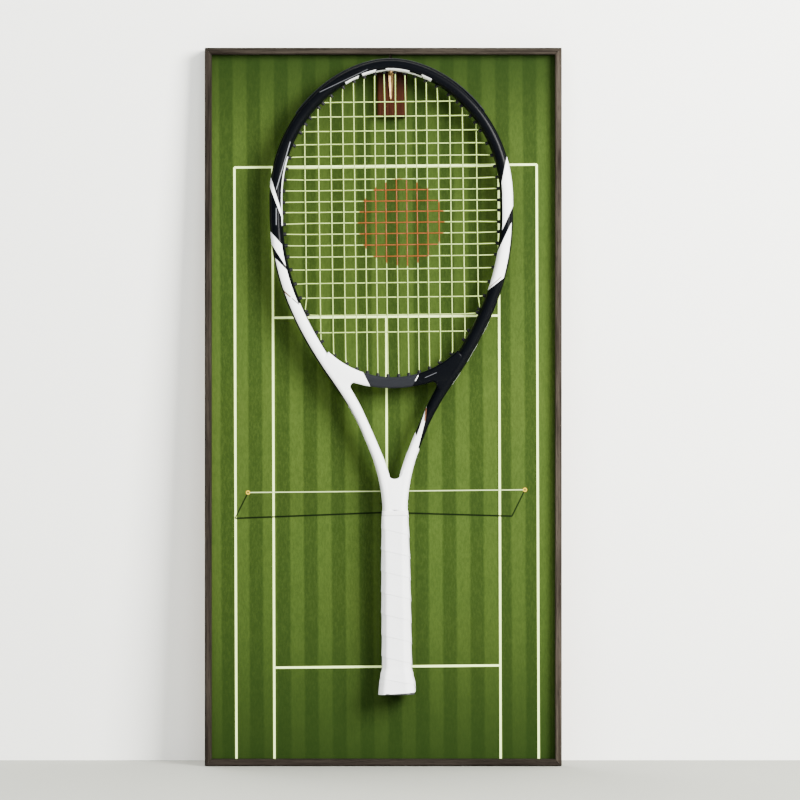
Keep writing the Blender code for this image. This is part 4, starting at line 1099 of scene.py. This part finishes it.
def bridge_outline():
    """The hoop's own arc above, the shallow arch below, a fillet into each arm, and the arms' crests."""
    above = []
    for i in range(31):
        angle = math.radians(44) * i / 30
        x, drop = THROAT_RADIUS * math.sin(angle), THROAT_RADIUS * math.cos(angle)
        above.append(Vector((x, THROAT_CENTRE - drop)))
    arch = Vector((0, BRIDGE_UNDERSIDE + UNDERSIDE_RADIUS))

    def past_arch(point):
        return (point - arch).length - UNDERSIDE_RADIUS - FILLET

    touch = HAIRPIN.where(-WALL_HALF - FILLET, past_arch, SIDE_DISTANCE, HOOP_LENGTH)
    middle = HAIRPIN.beside(touch, -WALL_HALF - FILLET)
    to_arm = (HAIRPIN.beside(touch, 0) - middle).normalized()
    to_arch = (arch - middle).normalized()
    fillet = [middle + to_arm.slerp(to_arch, i / 10) * FILLET for i in range(11)]
    crest = [HAIRPIN.beside(touch - i * 4 * MM, CREST_ASIDE) for i in range(12)]
    below = [Vector((x * MM, underside_z(x * MM))) for x in range(int(fillet[-1].x / MM) - 1, -1, -2)]
    half = above + [spot for spot in reversed(crest) if spot.y < above[-1].y] + fillet + below
    return [tuple(spot) for spot in half] + [(-spot.x, spot.y) for spot in reversed(half)]


def follow_depth(obj):
    """Thins a flat piece to the depth of the moulding beside it, so that the two are flush."""
    for vert in obj.data.vertices:
        nearest = HAIRPIN.nearest(Vector((abs(vert.co.x), vert.co.z)), 200)
        vert.co.y *= HAIRPIN.at(nearest)[2] / SIDE_SCALE
    return crease(obj, 50)


bridge = follow_depth(cushion_of("racket_bridge", bridge_outline(), BRIDGE_DEPTH, 2.6 * MM, BRIDGE_PAINT))
seat(bridge, HANG, "racket", "lacquer", "racket_frame")

# %% The web in the crotch
crotch = []
for i in range(25):
    angle = math.pi * i / 24
    crotch.append((8.4 * MM * math.cos(angle), (-444.0 - 8.8 * math.sin(angle)) * MM))
crotch += [(-12.4 * MM, -441 * MM), (-9.4 * MM, -462 * MM), (-8.0 * MM, -486 * MM)]
crotch += [(8.0 * MM, -486 * MM), (9.4 * MM, -462 * MM), (12.4 * MM, -441 * MM)]


def plain_paint():
    paint = Paint("throat_paint")
    mark = paint.noise(60, 3)
    return paint.lacquered(paint.mix(mark * 0.12, WHITE, (0.78, 0.79, 0.79)))


THROAT_PAINT = plain_paint()
web = follow_depth(cushion_of("racket_throat_web", crotch, WEB_DEPTH, 1.2 * MM, THROAT_PAINT))
seat(web, HANG, "racket", "lacquer", "racket_frame")

# %% [markdown]
# The racket's nylon parts are black and moulded with a fine matt texture. The bumper is scuffed
# where the racket has touched the ground, which is a stretched noise that only shows at its peaks.

# %% Nylon
def nylon(name, tone, scuffed=0.0):
    finish = Finish(name, Specular_IOR_Level=0.12)
    pebble = finish.cells(2200)
    cloud = finish.noise(130, 4)
    colour = finish.mix(cloud, tone, tuple(c * 1.7 + 0.0015 for c in tone))
    rough = 0.42 + cloud * 0.16
    if scuffed:
        scratch = finish.noise(700, 4, (1, 1, 0.2), 0.7)
        mark = (scratch - 0.66).step(0.05) * scuffed
        colour = finish.mix(mark, colour, (0.06, 0.06, 0.063))
        rough = rough + mark * 0.3
    return finish.surface(colour, rough, pebble, 0.04 * MM)


NYLON = nylon("black_nylon", (0.004, 0.004, 0.005))
GUARD_NYLON = nylon("bumper_nylon", (0.0045, 0.005, 0.0065), 0.6)
print("nylon ready")

# %% [markdown]
# Each end of a string leaves the bed through a port, a hole in the hoop or the bridge. The ports
# follow from where the strings run: the line says where the hoop's inner wall crosses each string.
# Ports that would fall too close together are slid apart, as on a real hoop.

# %% Ports of the strings
MAIN_X = [x * MM for x in (5.8, 16.7, 27.9, 39.2)] + [LAST_HOOP_MAIN]
MAIN_X += [x * MM for x in (64.3, 77.8, 92.6)]
CROSSES = (45.7, 61.3, 76.9, 90.9, 104.0, 116.6, 129.0, 140.8, 152.7, 164.1)
CROSSES += (175.9, 187.8, 200.0, 212.3, 226.0, 240.8, 256.5, 275.4, 294.0)
CROSS_Z = [-down * MM for down in CROSSES]
STRING_LIFT = 5.2 * MM
BRIDGE_LIFT = 1.35 * MM
PORT_SPACING = 5.0 * MM
BRIDGE_PORTS = 45 * MM


class Port:
    """A hole for one end of one string: where it enters, where it turns, and how far along."""

    def __init__(self, inner, outer, distance):
        self.inner = inner
        self.outer = outer
        self.distance = distance

    def slide(self, way):
        self.distance += way
        self.inner = HAIRPIN.beside(self.distance, -WALL_HALF)
        self.outer = HAIRPIN.beside(self.distance, STRING_LIFT)

    def mirrored(self):
        flip = Vector((-1, 1))
        return Port(self.inner * flip, self.outer * flip, self.distance)


def hoop_port(inner):
    distance = HAIRPIN.nearest(inner)
    return Port(inner, HAIRPIN.beside(distance, STRING_LIFT), distance)


def main_ports(x):
    top = HAIRPIN.beside(HAIRPIN.where(-WALL_HALF, lambda p: p.x - x, 0, SIDE_DISTANCE), -WALL_HALF)
    low = HAIRPIN.where(-WALL_HALF, lambda p: p.x - x, SIDE_DISTANCE, HOOP_LENGTH)
    bottom = HAIRPIN.beside(low, -WALL_HALF)
    on_arc = Vector((x, throat_arc_z(x)))
    if x < BRIDGE_PORTS:
        return hoop_port(top), Port(on_arc, Vector((x, underside_z(x) + BRIDGE_LIFT)), None)
    return hoop_port(top), hoop_port(on_arc if on_arc.y > bottom.y else bottom)


def cross_port(z):
    distance = HAIRPIN.where(-WALL_HALF, lambda p: p.y - z, 0.02, HOOP_LENGTH)
    return hoop_port(HAIRPIN.beside(distance, -WALL_HALF))


MAIN_PORTS = [main_ports(x) for x in MAIN_X]
CROSS_PORTS = [cross_port(z) for z in CROSS_Z]
in_order = [port for pair in MAIN_PORTS for port in pair if port.distance] + CROSS_PORTS
in_order.sort(key=lambda port: port.distance)
for first, second in zip(in_order, in_order[1:]):
    short = PORT_SPACING - (second.distance - first.distance)
    if short > 0:
        first.slide(-short)
print(f"{len(in_order)} ports in each half of the hoop")

# %% [markdown]
# Nylon parts line the groove: a bumper guard over the head, whose wings wrap the hoop's edges, and
# a grommet strip down each side. Their section is a channel, so they are sweeps like the moulding.

# %% Bumper guard and strips
GUARD_END = CROSS_PORTS[1].distance + 6 * MM
WING = ((6.95, 3.1), (6.75, 4.6), (6.52, 6.2), (6.5, 7.2), (6.85, 7.5))
WING += ((7.2, 7.4), (7.5, 6.2), (7.62, 4.6), (7.6, 3.0))


def channel(side):
    """The section of a strip: a floor between two walls that end as the side's outline says."""
    half = GROOVE_HALF - GAP
    inner = half - 0.9 * MM
    low = GROOVE_FLOOR + GAP
    right = [(low, half)] + side + [(side[-1][0], inner), (low + 0.8 * MM, inner)]
    left = [(out, -across) for out, across in reversed(right)]
    return [(out, across, 0.0) for out, across in right + left]


guard = flat_sweep(
    "bumper_guard_moulding",
    HAIRPIN.stations(0, GUARD_END),
    channel([(out * MM, across * MM) for out, across in WING]),
    GUARD_NYLON,
)
seat(crease(guard, 50), HANG, "racket", "nylon", "bumper_guard")
strip_stations = HAIRPIN.stations(GUARD_END + 2 * GAP, GROOVE_END - 2 * GAP)
for side in ("right", "left"):
    name = f"grommet_strip_{side}_moulding"
    strip = flat_sweep(name, strip_stations, channel([(5.7 * MM, GROOVE_HALF - GAP)]), NYLON, lead=False)
    if side == "left":
        strip.data.transform(Matrix.Diagonal((-1, 1, 1, 1)))
        strip.data.flip_normals()
    seat(crease(strip, 50), HANG, "racket", "nylon", f"grommet_strip_{side}")

# %% [markdown]
# Each string end leaves the hoop through a short nylon barrel whose nose shows as a black nub on
# the hoop's inner wall. The noses are all alike, so they are one small shape on 70 points: the tree
# stands a cone on each point, turned to the way that the point carries.

# %% Grommet noses
NOSE_FOOT = 2.2 * MM
NOSE_TIP = 1.6 * MM
NOSE_LENGTH = 4.2 * MM
NOSE_SUNK = 0.9 * MM


def copies_on_points(graph, given, shape):
    """The end of a tree that stands one shape on each point, turned to the point's way."""
    way = named(graph, "way", "FLOAT_VECTOR")
    turn = graph.node("FunctionNodeAlignRotationToVector", {"axis": "Z"}, {"Vector": way})
    points = graph.node("GeometryNodeMeshToPoints", {}, {"Mesh": given["Geometry"]})
    sockets = {"Points": points, "Instance": shape, "Rotation": turn}
    copies = graph.node("GeometryNodeInstanceOnPoints", {}, sockets)
    return close_tree(graph, copies, given["Material"])


def nose_tree():
    lengths = {"Foot_Radius": "Float", "Tip_Radius": "Float", "Length": "Float", "Sunk": "Float"}
    graph, given = open_tree("grommet_noses", **lengths)
    cone = graph.node(
        "GeometryNodeMeshCone",
        {},
        {
            "Vertices": 18,
            "Side Segments": 3,
            "Radius Top": given["Tip Radius"],
            "Radius Bottom": given["Foot Radius"],
            "Depth": given["Length"],
        },
    )
    drop = graph.node("ShaderNodeCombineXYZ", {}, {"Z": -given["Sunk"]})
    nose = graph.node("GeometryNodeTransform", {}, {"Geometry": cone, "Translation": drop})
    return copies_on_points(graph, given, nose)


port_spots, port_ways = [], []
ports = [port for pair in MAIN_PORTS for port in pair] + CROSS_PORTS
for port in ports + [port.mirrored() for port in ports]:
    way = (port.inner - port.outer).normalized()
    port_spots.append((port.inner.x, 0, port.inner.y))
    port_ways.append((way.x, 0, way.y))
noses = loop_mesh("grommet_noses", port_spots, False, {"way": port_ways})
nose_inputs = {
    "Foot Radius": NOSE_FOOT,
    "Tip Radius": NOSE_TIP,
    "Length": NOSE_LENGTH,
    "Sunk": NOSE_SUNK,
    "Material": NYLON,
}
noses = run_tree(noses, nose_tree(), nose_inputs, "grommet_noses")
seat(crease(noses, 50), HANG, "racket", "nylon")
print(f"{len(port_spots)} grommet noses")

# %% [markdown]
# Two unbroken strings make the bed. The mains go down and up the hoop, the crosses go from side to
# side, over one main and under the next, and each turns round in the groove from one port to its
# neighbour. The route is a list of places, the sweep tree bends a Catmull-Rom line through them,
# and a thin circle runs along it.

# %% Where the strings cross
STRING_RADIUS = 0.6 * MM
WEAVE = 0.85 * MM
ASIDE_IN_PORT = 0.5 * MM
ASIDE_IN_GROOVE = 1.2 * MM
DISC_MIDDLE = (10.5, 176)
DISC_RADIUS = 47


def string_finish():
    """Yellow green gut with a plain red disc over the middle of the bed."""
    paint = Paint("string_gut", 0.15, 0.2)
    x, down = paint.x - DISC_MIDDLE[0], paint.down - DISC_MIDDLE[1]
    feather = paint.noise(160, 3)
    disc = (DISC_RADIUS + (feather - 0.5) * 5 - (x * x + down * down).math("SQRT")).step(2.0)
    fibre = paint.noise(900, 3)
    clean = paint.mix(fibre, (0.24, 0.34, 0.075), (0.38, 0.49, 0.15))
    colour = paint.mix(disc * 0.94, clean, (0.15, 0.017, 0.004))
    return paint.surface(colour, 0.36 + fibre * 0.12, fibre, 0.02 * MM)


def crossings():
    xs = [-x for x in reversed(MAIN_X)] + MAIN_X
    pairs = MAIN_PORTS[::-1] + MAIN_PORTS
    clear = 3 * MM
    found = {}
    for i, (x, (top, bottom)) in enumerate(zip(xs, pairs)):
        for j, (z, side) in enumerate(zip(CROSS_Z, CROSS_PORTS)):
            if abs(x) < side.inner.x - clear and bottom.inner.y + clear < z < top.inner.y - clear:
                found[i, j] = (x, z, 1 if (i + j) % 2 else -1)
    return found


CROSSINGS = crossings()
print(f"{len(CROSSINGS)} crossings")

# %% Places along a string
def in_bed(point, across):
    return Vector((point.x, across, point.y))


def port_points(port, outwards, side):
    """A string's points through a port. Mains keep to one side of it and crosses to the other."""
    run = (port.outer - port.inner).normalized()
    across = side * ASIDE_IN_PORT
    points = [in_bed(port.inner - run * 0.2 * MM, across), in_bed(port.outer - run * 0.5 * MM, across)]
    return points if outwards else points[::-1]


def groove_turn(start, stop, side):
    """A string's way along the groove from one port to its neighbour, or under the bridge."""
    made = []
    reach = [math.copysign(port.distance or 0, port.inner.x) for port in (start, stop)]
    for share in (0.07, 0.28, 0.5, 0.72, 0.93):
        across = side * ASIDE_IN_GROOVE
        if start.distance is None:
            x = start.outer.x + (stop.outer.x - start.outer.x) * share
            made.append(Vector((x, across, underside_z(x) + BRIDGE_LIFT)))
            continue
        signed = reach[0] + (reach[1] - reach[0]) * share
        point = HAIRPIN.beside(abs(signed), STRING_LIFT)
        made.append(Vector((math.copysign(point.x, signed), across, point.y)))
    return made


def straight(start, stop):
    """Places between two others that keep the bent line straight on its way to a port."""
    return [start.lerp(stop, share) for share in (0.15, 0.5, 0.85)]


def strand(first, places, last, side):
    """One string across the bed: out of a port, over and under the others, and into the next."""
    into, out = port_points(first, False, side), port_points(last, True, side)
    return into + straight(into[-1], places[0]) + places + straight(places[-1], out[0]) + out


print(f"a straight run to a port has {len(straight(Vector((0, 0)), Vector((1, 1))))} places")

# %% Routes of the two strings
def main_route():
    pairs = [(top.mirrored(), bottom.mirrored()) for top, bottom in reversed(MAIN_PORTS)] + MAIN_PORTS
    route = []
    for i, (top, bottom) in enumerate(pairs):
        rows = sorted(j for (main, j) in CROSSINGS if main == i)
        upward = i % 2 == 1
        first, last = (bottom, top) if upward else (top, bottom)
        spots = [CROSSINGS[i, j] for j in (rows[::-1] if upward else rows)]
        route += strand(first, [Vector((x, over * WEAVE, z)) for x, z, over in spots], last, -1)
        if i + 1 < len(pairs):
            route += groove_turn(last, pairs[i + 1][0 if upward else 1], -1)
    return route


def cross_route():
    route = []
    for j, right in enumerate(CROSS_PORTS):
        columns = sorted(i for (i, cross) in CROSSINGS if cross == j)
        leftward = j % 2 == 1
        first, last = (right, right.mirrored()) if leftward else (right.mirrored(), right)
        spots = [CROSSINGS[i, j] for i in (columns[::-1] if leftward else columns)]
        route += strand(first, [Vector((x, -over * WEAVE, z)) for x, z, over in spots], last, 1)
        if j + 1 < len(CROSS_PORTS):
            below = CROSS_PORTS[j + 1]
            route += groove_turn(last, below.mirrored() if leftward else below, 1)
    return route


STRING_FINISH = string_finish()
STRING_SECTION = circle(STRING_RADIUS, 8)
for name, route, node in (
    ("main_string_run", main_route(), "main_strings"),
    ("cross_string_run", cross_route(), "cross_strings"),
):
    string = swept(name, route, STRING_SECTION, STRING_FINISH, curved=True, spacing=1.9 * MM)
    seat(crease(string, 80), HANG, "racket", "string", node)

# %% [markdown]
# The grip is one long soft strip, wound up the eight-sided handle from the butt. Each turn lies
# over the edge of the turn before, which leaves a faint slanting seam. So the strip is drawn as a
# real ribbon: a grid with one direction round the handle and the other across the strip, lifted a
# little along its lower edge, trimmed level at both ends, and then given its thickness.

# %% The handle's section
GRIP_RINGS = (
    (492.0, 14.2, 13.8, 3.2),
    (515.0, 14.8, 13.9, 5.0),
    (545.0, 15.5, 14.0, 6.0),
    (600.0, 15.9, 14.1, 6.2),
    (656.0, 16.1, 14.3, 6.2),
    (664.0, 17.6, 15.8, 6.4),
    (672.0, 19.2, 17.1, 6.6),
    (683.0, 19.9, 17.7, 6.6),
)
AROUND = 72


def grip_size(down):
    """Half width, half depth and facet of the handle at a distance down, in mm."""
    rings = GRIP_RINGS
    if down <= rings[0][0]:
        return rings[0][1:]
    for above, below in zip(rings, rings[1:]):
        if down <= below[0]:
            share = (down - above[0]) / (below[0] - above[0])
            share = share * share * (3 - 2 * share)
            return tuple(a + (b - a) * share for a, b in zip(above[1:], below[1:]))
    return rings[-1][1:]


def octagon_reach(angle, half_width, half_depth, facet):
    """How far from the middle the softened octagon's edge lies, in one direction."""
    c, s = abs(math.cos(angle)), abs(math.sin(angle))
    slope = half_width + half_depth - facet
    planes = (c / half_width, s / half_depth, (c + s) / slope)
    softness = 48
    return sum(plane**softness for plane in planes) ** (-1 / softness)


print("half width, half depth and facet at the top:", grip_size(GRIP_RINGS[0][0]))

# %% Grip tape
GRIP_THICKNESS = 1.3 * MM
TAPE_PITCH = 23.0
TAPE_WIDTH = 27.5
TAPE_LIFT = 0.55
HANDLE_TURN = math.radians(4)
LOWER_TRIM = 0.058


def tape_finish():
    finish = Finish("grip_tape", Sheen_Weight=0.12, Sheen_Roughness=0.5)
    pores = finish.cells(1500)
    hand = finish.noise(26, 3)
    felt = finish.noise(1300, 4)
    colour = finish.mix((hand - 0.42).step(0.5) * 0.35, (0.83, 0.84, 0.85), (0.75, 0.75, 0.74))
    colour = finish.mix((pores - 0.42).step(0.2) * 0.12, colour, (0.66, 0.66, 0.66))
    return finish.surface(colour, 0.55 + felt * 0.2, pores * 0.6 + felt * 0.4, 0.09 * MM)


def skin(name, bm, material):
    """Turns a finished bmesh into an object with one material."""
    data = bpy.data.meshes.new(name)
    bm.to_mesh(data)
    bm.free()
    data.materials.append(material)
    return add_object(name, data)


def tape():
    """The wound strip, trimmed level above and nearly level below."""
    start, stop = GRIP_RINGS[0][0], GRIP_RINGS[-1][0]
    bm = bmesh.new()
    turns = math.ceil((stop - start) / TAPE_PITCH) + 2
    across = 12
    rows = []
    for step in range(turns * AROUND + 1):
        angle = 2 * math.pi * step / AROUND
        row = []
        for k in range(across + 1):
            share = k / across
            down = start - TAPE_WIDTH + TAPE_PITCH * step / AROUND + TAPE_WIDTH * share
            lift = TAPE_LIFT * max(0.0, (share - 0.35) / 0.65) ** 1.5
            dip = TAPE_LIFT * 0.5 * max(0.0, 1 - share / 0.12) ** 2
            far = octagon_reach(angle + HANDLE_TURN, *grip_size(down)) - TAPE_LIFT + lift - dip
            x, y = far * math.cos(angle) * MM, far * math.sin(angle) * MM
            row.append(bm.verts.new((x, y, -down * MM)))
        rows.append(row)
    for before, after in zip(rows, rows[1:]):
        for k in range(across):
            bm.faces.new((before[k], before[k + 1], after[k + 1], after[k]))
    for z, up in ((-start * MM, (0, 0, 1)), (-(stop + 0.4) * MM, (LOWER_TRIM, 0, -1))):
        everything = bm.verts[:] + bm.edges[:] + bm.faces[:]
        bmesh.ops.bisect_plane(bm, geom=everything, plane_co=(0, 0, z), plane_no=up, clear_outer=True)
    obj = skin("grip_tape", bm, tape_finish())
    wall = obj.modifiers.new("thickness", "SOLIDIFY")
    wall.thickness = GRIP_THICKNESS
    wall.offset = -1
    return plain(obj, "grip_tape")


grip = tape()
seat(crease(grip, 50), HANG, "racket", "grip", "grip_wrap")

# %% [markdown]
# A thin rubber collar holds the top of the grip, and a moulded cap closes the handle. Both are
# turned round the same softened octagon, so one loft makes them from a list of rings.

# %% Lofts
def skinned(name, loops, material, capped=True):
    """Loops of points, skinned one after another, and either capped or joined to a ring."""
    bm = bmesh.new()
    rows = [[bm.verts.new(point) for point in loop] for loop in loops]
    pairs = list(zip(rows, rows[1:])) + ([] if capped else [(rows[-1], rows[0])])
    for above, below in pairs:
        for k in range(len(above)):
            bm.faces.new((above[k], above[k - 1], below[k - 1], below[k]))
    if capped:
        bm.faces.new(rows[0])
        bm.faces.new(rows[-1][::-1])
    return skin(name, bm, material)


def lofted(name, rings, material, capped=True):
    """Rings of (distance down, half width, half depth, facet) in mm, skinned from top to bottom."""
    loops = []
    for down, *size in rings:
        loop = []
        for i in range(AROUND):
            angle = 2 * math.pi * i / AROUND
            far = octagon_reach(angle, *size) * MM
            loop.append((far * math.cos(angle), far * math.sin(angle), -down * MM))
        loops.append(loop)
    return crease(skinned(name, loops, material, capped))


def rubber():
    finish = Finish("white_rubber")
    dust = finish.noise(300, 4)
    colour = finish.mix(dust * 0.5, (0.80, 0.80, 0.80), (0.70, 0.70, 0.69))
    return finish.surface(colour, 0.5 + dust * 0.2, finish.noise(1800, 2), 0.03 * MM)


def cap_finish():
    finish = Finish("butt_cap_plastic")
    dust = finish.noise(220, 4)
    spark = finish.cells(2600)
    colour = finish.mix(dust * 0.6, (0.022, 0.022, 0.024), (0.04, 0.04, 0.042))
    return finish.surface(colour, 0.42 + dust * 0.2, spark, 0.03 * MM)


RUBBER = rubber()
CAP = cap_finish()
print("rubber and cap finishes ready")

# %% Collar, butt cap and plug
collar_rings = [
    (486.9, 13.9, 13.6, 3.4),
    (486.6, 13.75, 13.45, 3.4),
    (486.6, 13.3, 13.0, 3.2),
    (491.7, 13.5, 13.1, 3.1),
    (491.7, 14.15, 13.75, 3.2),
    (491.2, 14.2, 13.8, 3.2),
]
collar = lofted("grip_collar_band", collar_rings, RUBBER, capped=False)
seat(collar, HANG, "racket", "grip", "grip_collar")

cap_rings = [
    (676.3, 18.0, 15.8, 5.9),
    (683.3, 18.0, 15.8, 5.9),
    (683.3, 19.0, 16.8, 6.3),
    (683.6, 19.1, 16.9, 6.3),
    (684.1, 19.1, 16.9, 6.3),
    (684.6, 18.8, 16.6, 6.2),
    (684.87, 18.2, 16.0, 6.0),
    (684.87, 11.6, 8.6, 4.6),
    (684.6, 11.0, 8.0, 4.5),
    (682.67, 11.0, 8.0, 4.5),
]
cap = lofted("butt_cap_moulding", cap_rings, CAP)
seat(cap, HANG, "racket", "cap", "butt_cap")
plug_rings = [
    (682.97, 10.7, 7.7, 4.4),
    (684.2, 10.7, 7.7, 4.4),
    (684.47, 10.4, 7.4, 4.3),
    (684.47, 4.0, 1.6, 1.0),
    (684.1, 3.8, 1.4, 0.9),
]
plug = lofted("butt_plug_moulding", plug_rings, NYLON)
seat(plug, HANG, "racket", "cap", "butt_plug")

# %% [markdown]
# The holder is a hardwood block with a thin brass plate on its face and a round brass pin through
# the plate. The block keeps its solid. The plate is skinned through a few widths, with a shallow
# valley down its face and softened edges. The pin is a profile turned about its axis.

# %% Plate
PLATE_FRONT = -26.2 * MM
PLATE_THICKNESS = 1.6 * MM
PLATE_LEAN = math.sin(math.radians(1.0))
BLADE_ROWS = ((-5, 0.5), (-5.6, 1.0), (-7.5, 1.4), (-15, 2.3), (-26.5, 2.9))
BLADE_ROWS += ((-40, 2.1), (-52, 1.25), (-54, 0.9), (-54.6, 0.4))
VALLEY_DEPTH = 0.95 * MM


def plate_middle(z):
    return PIN[0] - PLATE_LEAN * (z - PIN[1])


def blade():
    """The plate: widest where the pin goes through, with a shallow valley down its face."""
    front, valley, back = PLATE_FRONT, PLATE_FRONT + VALLEY_DEPTH, PLATE_FRONT + PLATE_THICKNESS
    loops = []
    for z, half in BLADE_ROWS:
        middle, half, z = plate_middle(z * MM), half * MM, z * MM
        left, right = middle - half, middle + half
        ring = ((left, front), (middle, valley), (right, front), (right, back), (left, back))
        loops.append([(x, y, z) for x, y in ring])
    obj = skinned("hook_plate_strip", loops, PLATE_BRASS)
    soft = obj.modifiers.new("soft_edges", "BEVEL")
    soft.width = 0.15 * MM
    soft.segments = 2
    return crease(plain(obj, "hook_plate_strip"), 25)


plate = blade()
seat(plate, Matrix.Identity(4), "rack", "brass", "hook_plate")

# %% Pin
PIN_LENGTH = 24 * MM


def turned(name, profile, material, matrix, steps):
    """A profile of (radius, height) points, turned about Z and put in its place."""
    line = loop_mesh(name, [(radius, 0, height) for radius, height in profile], False)
    screw = line.modifiers.new("turn", "SCREW")
    screw.steps = steps
    screw.render_steps = steps
    screw.use_merge_vertices = True
    screw.merge_threshold = 1e-6
    made = plain(line, name)
    made.data.materials.append(material)
    made.data.transform(matrix)
    return crease(made, 35)


pin_profile = [(0, PIN_LENGTH)]
pin_profile += [
    (PIN_RADIUS * math.sin(math.radians(a)), PIN_LENGTH - 1.4 * MM * (1 - math.cos(math.radians(a))))
    for a in range(10, 91, 10)
]
pin_profile += [(PIN_RADIUS, 0.9 * MM), (1.8 * MM, 0.7 * MM), (2.4 * MM, 0.6 * MM), (2.6 * MM, 0.45 * MM)]
pin_profile += [(2.6 * MM, 0), (1.5 * MM, 0), (1.5 * MM, -8.4 * MM), (1.0 * MM, -9 * MM), (0, -9 * MM)]
pin_place = Matrix.Translation((PIN[0], PLATE_FRONT - GAP, PIN[1])) @ TO_FRONT
pin = turned("hook_pin_turned", pin_profile, BRASS, pin_place, 48)
seat(pin, Matrix.Identity(4), "pin", "brass", "hook_pin")

# %% [markdown]
# Small screws have a cross recess. One tree makes a domed or a flat head, cuts a cross out of it,
# and stands a copy on each point, so that the five screws that show share one shape: four in the
# hanger straps and one in the plate.

# %% A tree of screws
SCREW_LENGTHS = ("Head Radius", "Dome", "Shank Radius", "Shank Length")


def screw_tree():
    lengths = {name.replace(" ", "_"): "Float" for name in SCREW_LENGTHS}
    graph, given = open_tree("cross_head_screws", **lengths)
    ball = graph.node("GeometryNodeMeshUVSphere", {}, {"Segments": 32, "Rings": 16, "Radius": 1.0})
    size = graph.node(
        "ShaderNodeCombineXYZ", {}, {0: given["Head Radius"], 1: given["Head Radius"], 2: given["Dome"]}
    )
    dome = graph.node("GeometryNodeTransform", {}, {"Geometry": ball, "Scale": size})
    slots = []
    for long, short in ((1.1, 0.26), (0.26, 1.1)):
        size = graph.node(
            "ShaderNodeCombineXYZ",
            {},
            {0: given["Head Radius"] * long, 1: given["Head Radius"] * short, 2: given["Dome"]},
        )
        slot = graph.node("GeometryNodeMeshCube", {}, {"Size": size})
        lift = graph.node("ShaderNodeCombineXYZ", {}, {2: given["Dome"] * 0.95})
        slots.append(graph.node("GeometryNodeTransform", {}, {"Geometry": slot, "Translation": lift}))
    head = dome
    for slot in slots:
        settings = {"operation": "DIFFERENCE", "solver": "EXACT"}
        head = graph.node("GeometryNodeMeshBoolean", settings, {"Mesh 1": head, "Mesh 2": slot})
    shank = graph.node(
        "GeometryNodeMeshCylinder",
        {},
        {"Vertices": 16, "Radius": given["Shank Radius"], "Depth": given["Shank Length"]},
    )
    drop = graph.node("ShaderNodeCombineXYZ", {}, {2: given["Shank Length"] * -0.5})
    shank = graph.node("GeometryNodeTransform", {}, {"Geometry": shank, "Translation": drop})
    whole = graph.node("GeometryNodeJoinGeometry")
    for piece in (shank, head):
        graph.tree.links.new(piece.socket, whole.socket.node.inputs[0])
    return copies_on_points(graph, given, whole)


SCREWS = screw_tree()
print(f"{len(SCREWS.nodes)} nodes make a screw")

# %% Screws in their places
HANGER_SCREW = (2.1 * MM, 0.9 * MM, 1.05 * MM, 4.6 * MM)
PLATE_SCREW = (1.75 * MM, 0.35 * MM, 0.8 * MM, 7 * MM)


def screws(name, nodes, way, size, material, slot):
    """Screws in place of some solids, with their heads' seats where the solids have them."""
    places = []
    for node in nodes:
        low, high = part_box(node)
        middle = (low + high) / 2
        places.append((middle.x, high.y - size[1] if way[1] > 0 else low.y + size[1], middle.z))
    spots = loop_mesh(name, places, False, {"way": [way] * len(places)})
    inputs = {**dict(zip(SCREW_LENGTHS, size)), "Material": material}
    made = run_tree(spots, SCREWS, inputs, name)
    seat(crease(made, 35), Matrix.Identity(4), "rack", slot, *nodes)


hanger_screws = sorted(node for node in NODES if node.startswith("hanger_screw"))
screws("hanger_screw_set", hanger_screws, (0, 1, 0), HANGER_SCREW, ZINC, "zinc_steel")
screws("plate_screw_brass", ["plate_screw"], (0, -1, 0), PLATE_SCREW, BRASS, "brass")

# %% [markdown]
# Two D rings hang in their strap knuckles on the back. Each is a straight bar with a bow, a closed
# path for the sweep tree.

# %% Hanger rings
RING_HALF = 8.5 * MM
RING_DROP = 14 * MM
RING_WIRE = 0.9 * MM
RING_X = 110 * MM
BAR = (-2.4 * MM, -62 * MM)
for side, x in (("left", -RING_X), ("right", RING_X)):
    bow = []
    for i in range(1, 40):
        angle = math.pi * i / 40
        bow.append((RING_HALF * math.cos(angle), 0, -RING_DROP * math.sin(angle) ** 0.8))
    loop = [(-RING_HALF, 0, 0), (0, 0, 0), (RING_HALF, 0, 0)] + bow
    ring = swept(f"hanger_ring_{side}_wire", loop, circle(RING_WIRE, 14), ZINC, closed=True)
    place = Matrix.Translation((x, BAR[0], BAR[1]))
    seat(crease(ring, 80), place, f"ring_{side}", "zinc_steel", f"hanger_ring_{side}")

# %% [markdown]
# The rest of the solids already have the real shape: rails, board, print, block, the block's own
# screws, straps, points, brads and the pallet inside the grip. They keep their meshes and get their
# finishes.

# %% Finishes of the other solids
def foam_finish():
    finish = Finish("pallet_foam")
    bubbles = finish.cells(1600)
    colour = finish.mix(bubbles, (0.16, 0.16, 0.15), (0.30, 0.30, 0.28))
    return finish.surface(colour, 0.8 + bubbles * 0.1, bubbles, 0.1 * MM)


FOAM = foam_finish()
KEPT = {
    **{"rail_" + rail: (finish, "dark_wood") for rail, finish in RAILS.items()},
    "backing_board": (HARDBOARD, "board"),
    "court_print": (COURT_PRINT, "court_print"),
    "hook_block": (BLOCK_WOOD, "block_wood"),
    "handle_pallet": (FOAM, "foam"),
}
for name, node in NODES.items():
    if node.hide_render:
        continue
    material, slot = KEPT.get(name, (ZINC, "zinc_steel"))
    node.data.materials.clear()
    node.data.materials.append(material)
print(sorted(name for name, node in NODES.items() if not node.hide_render))
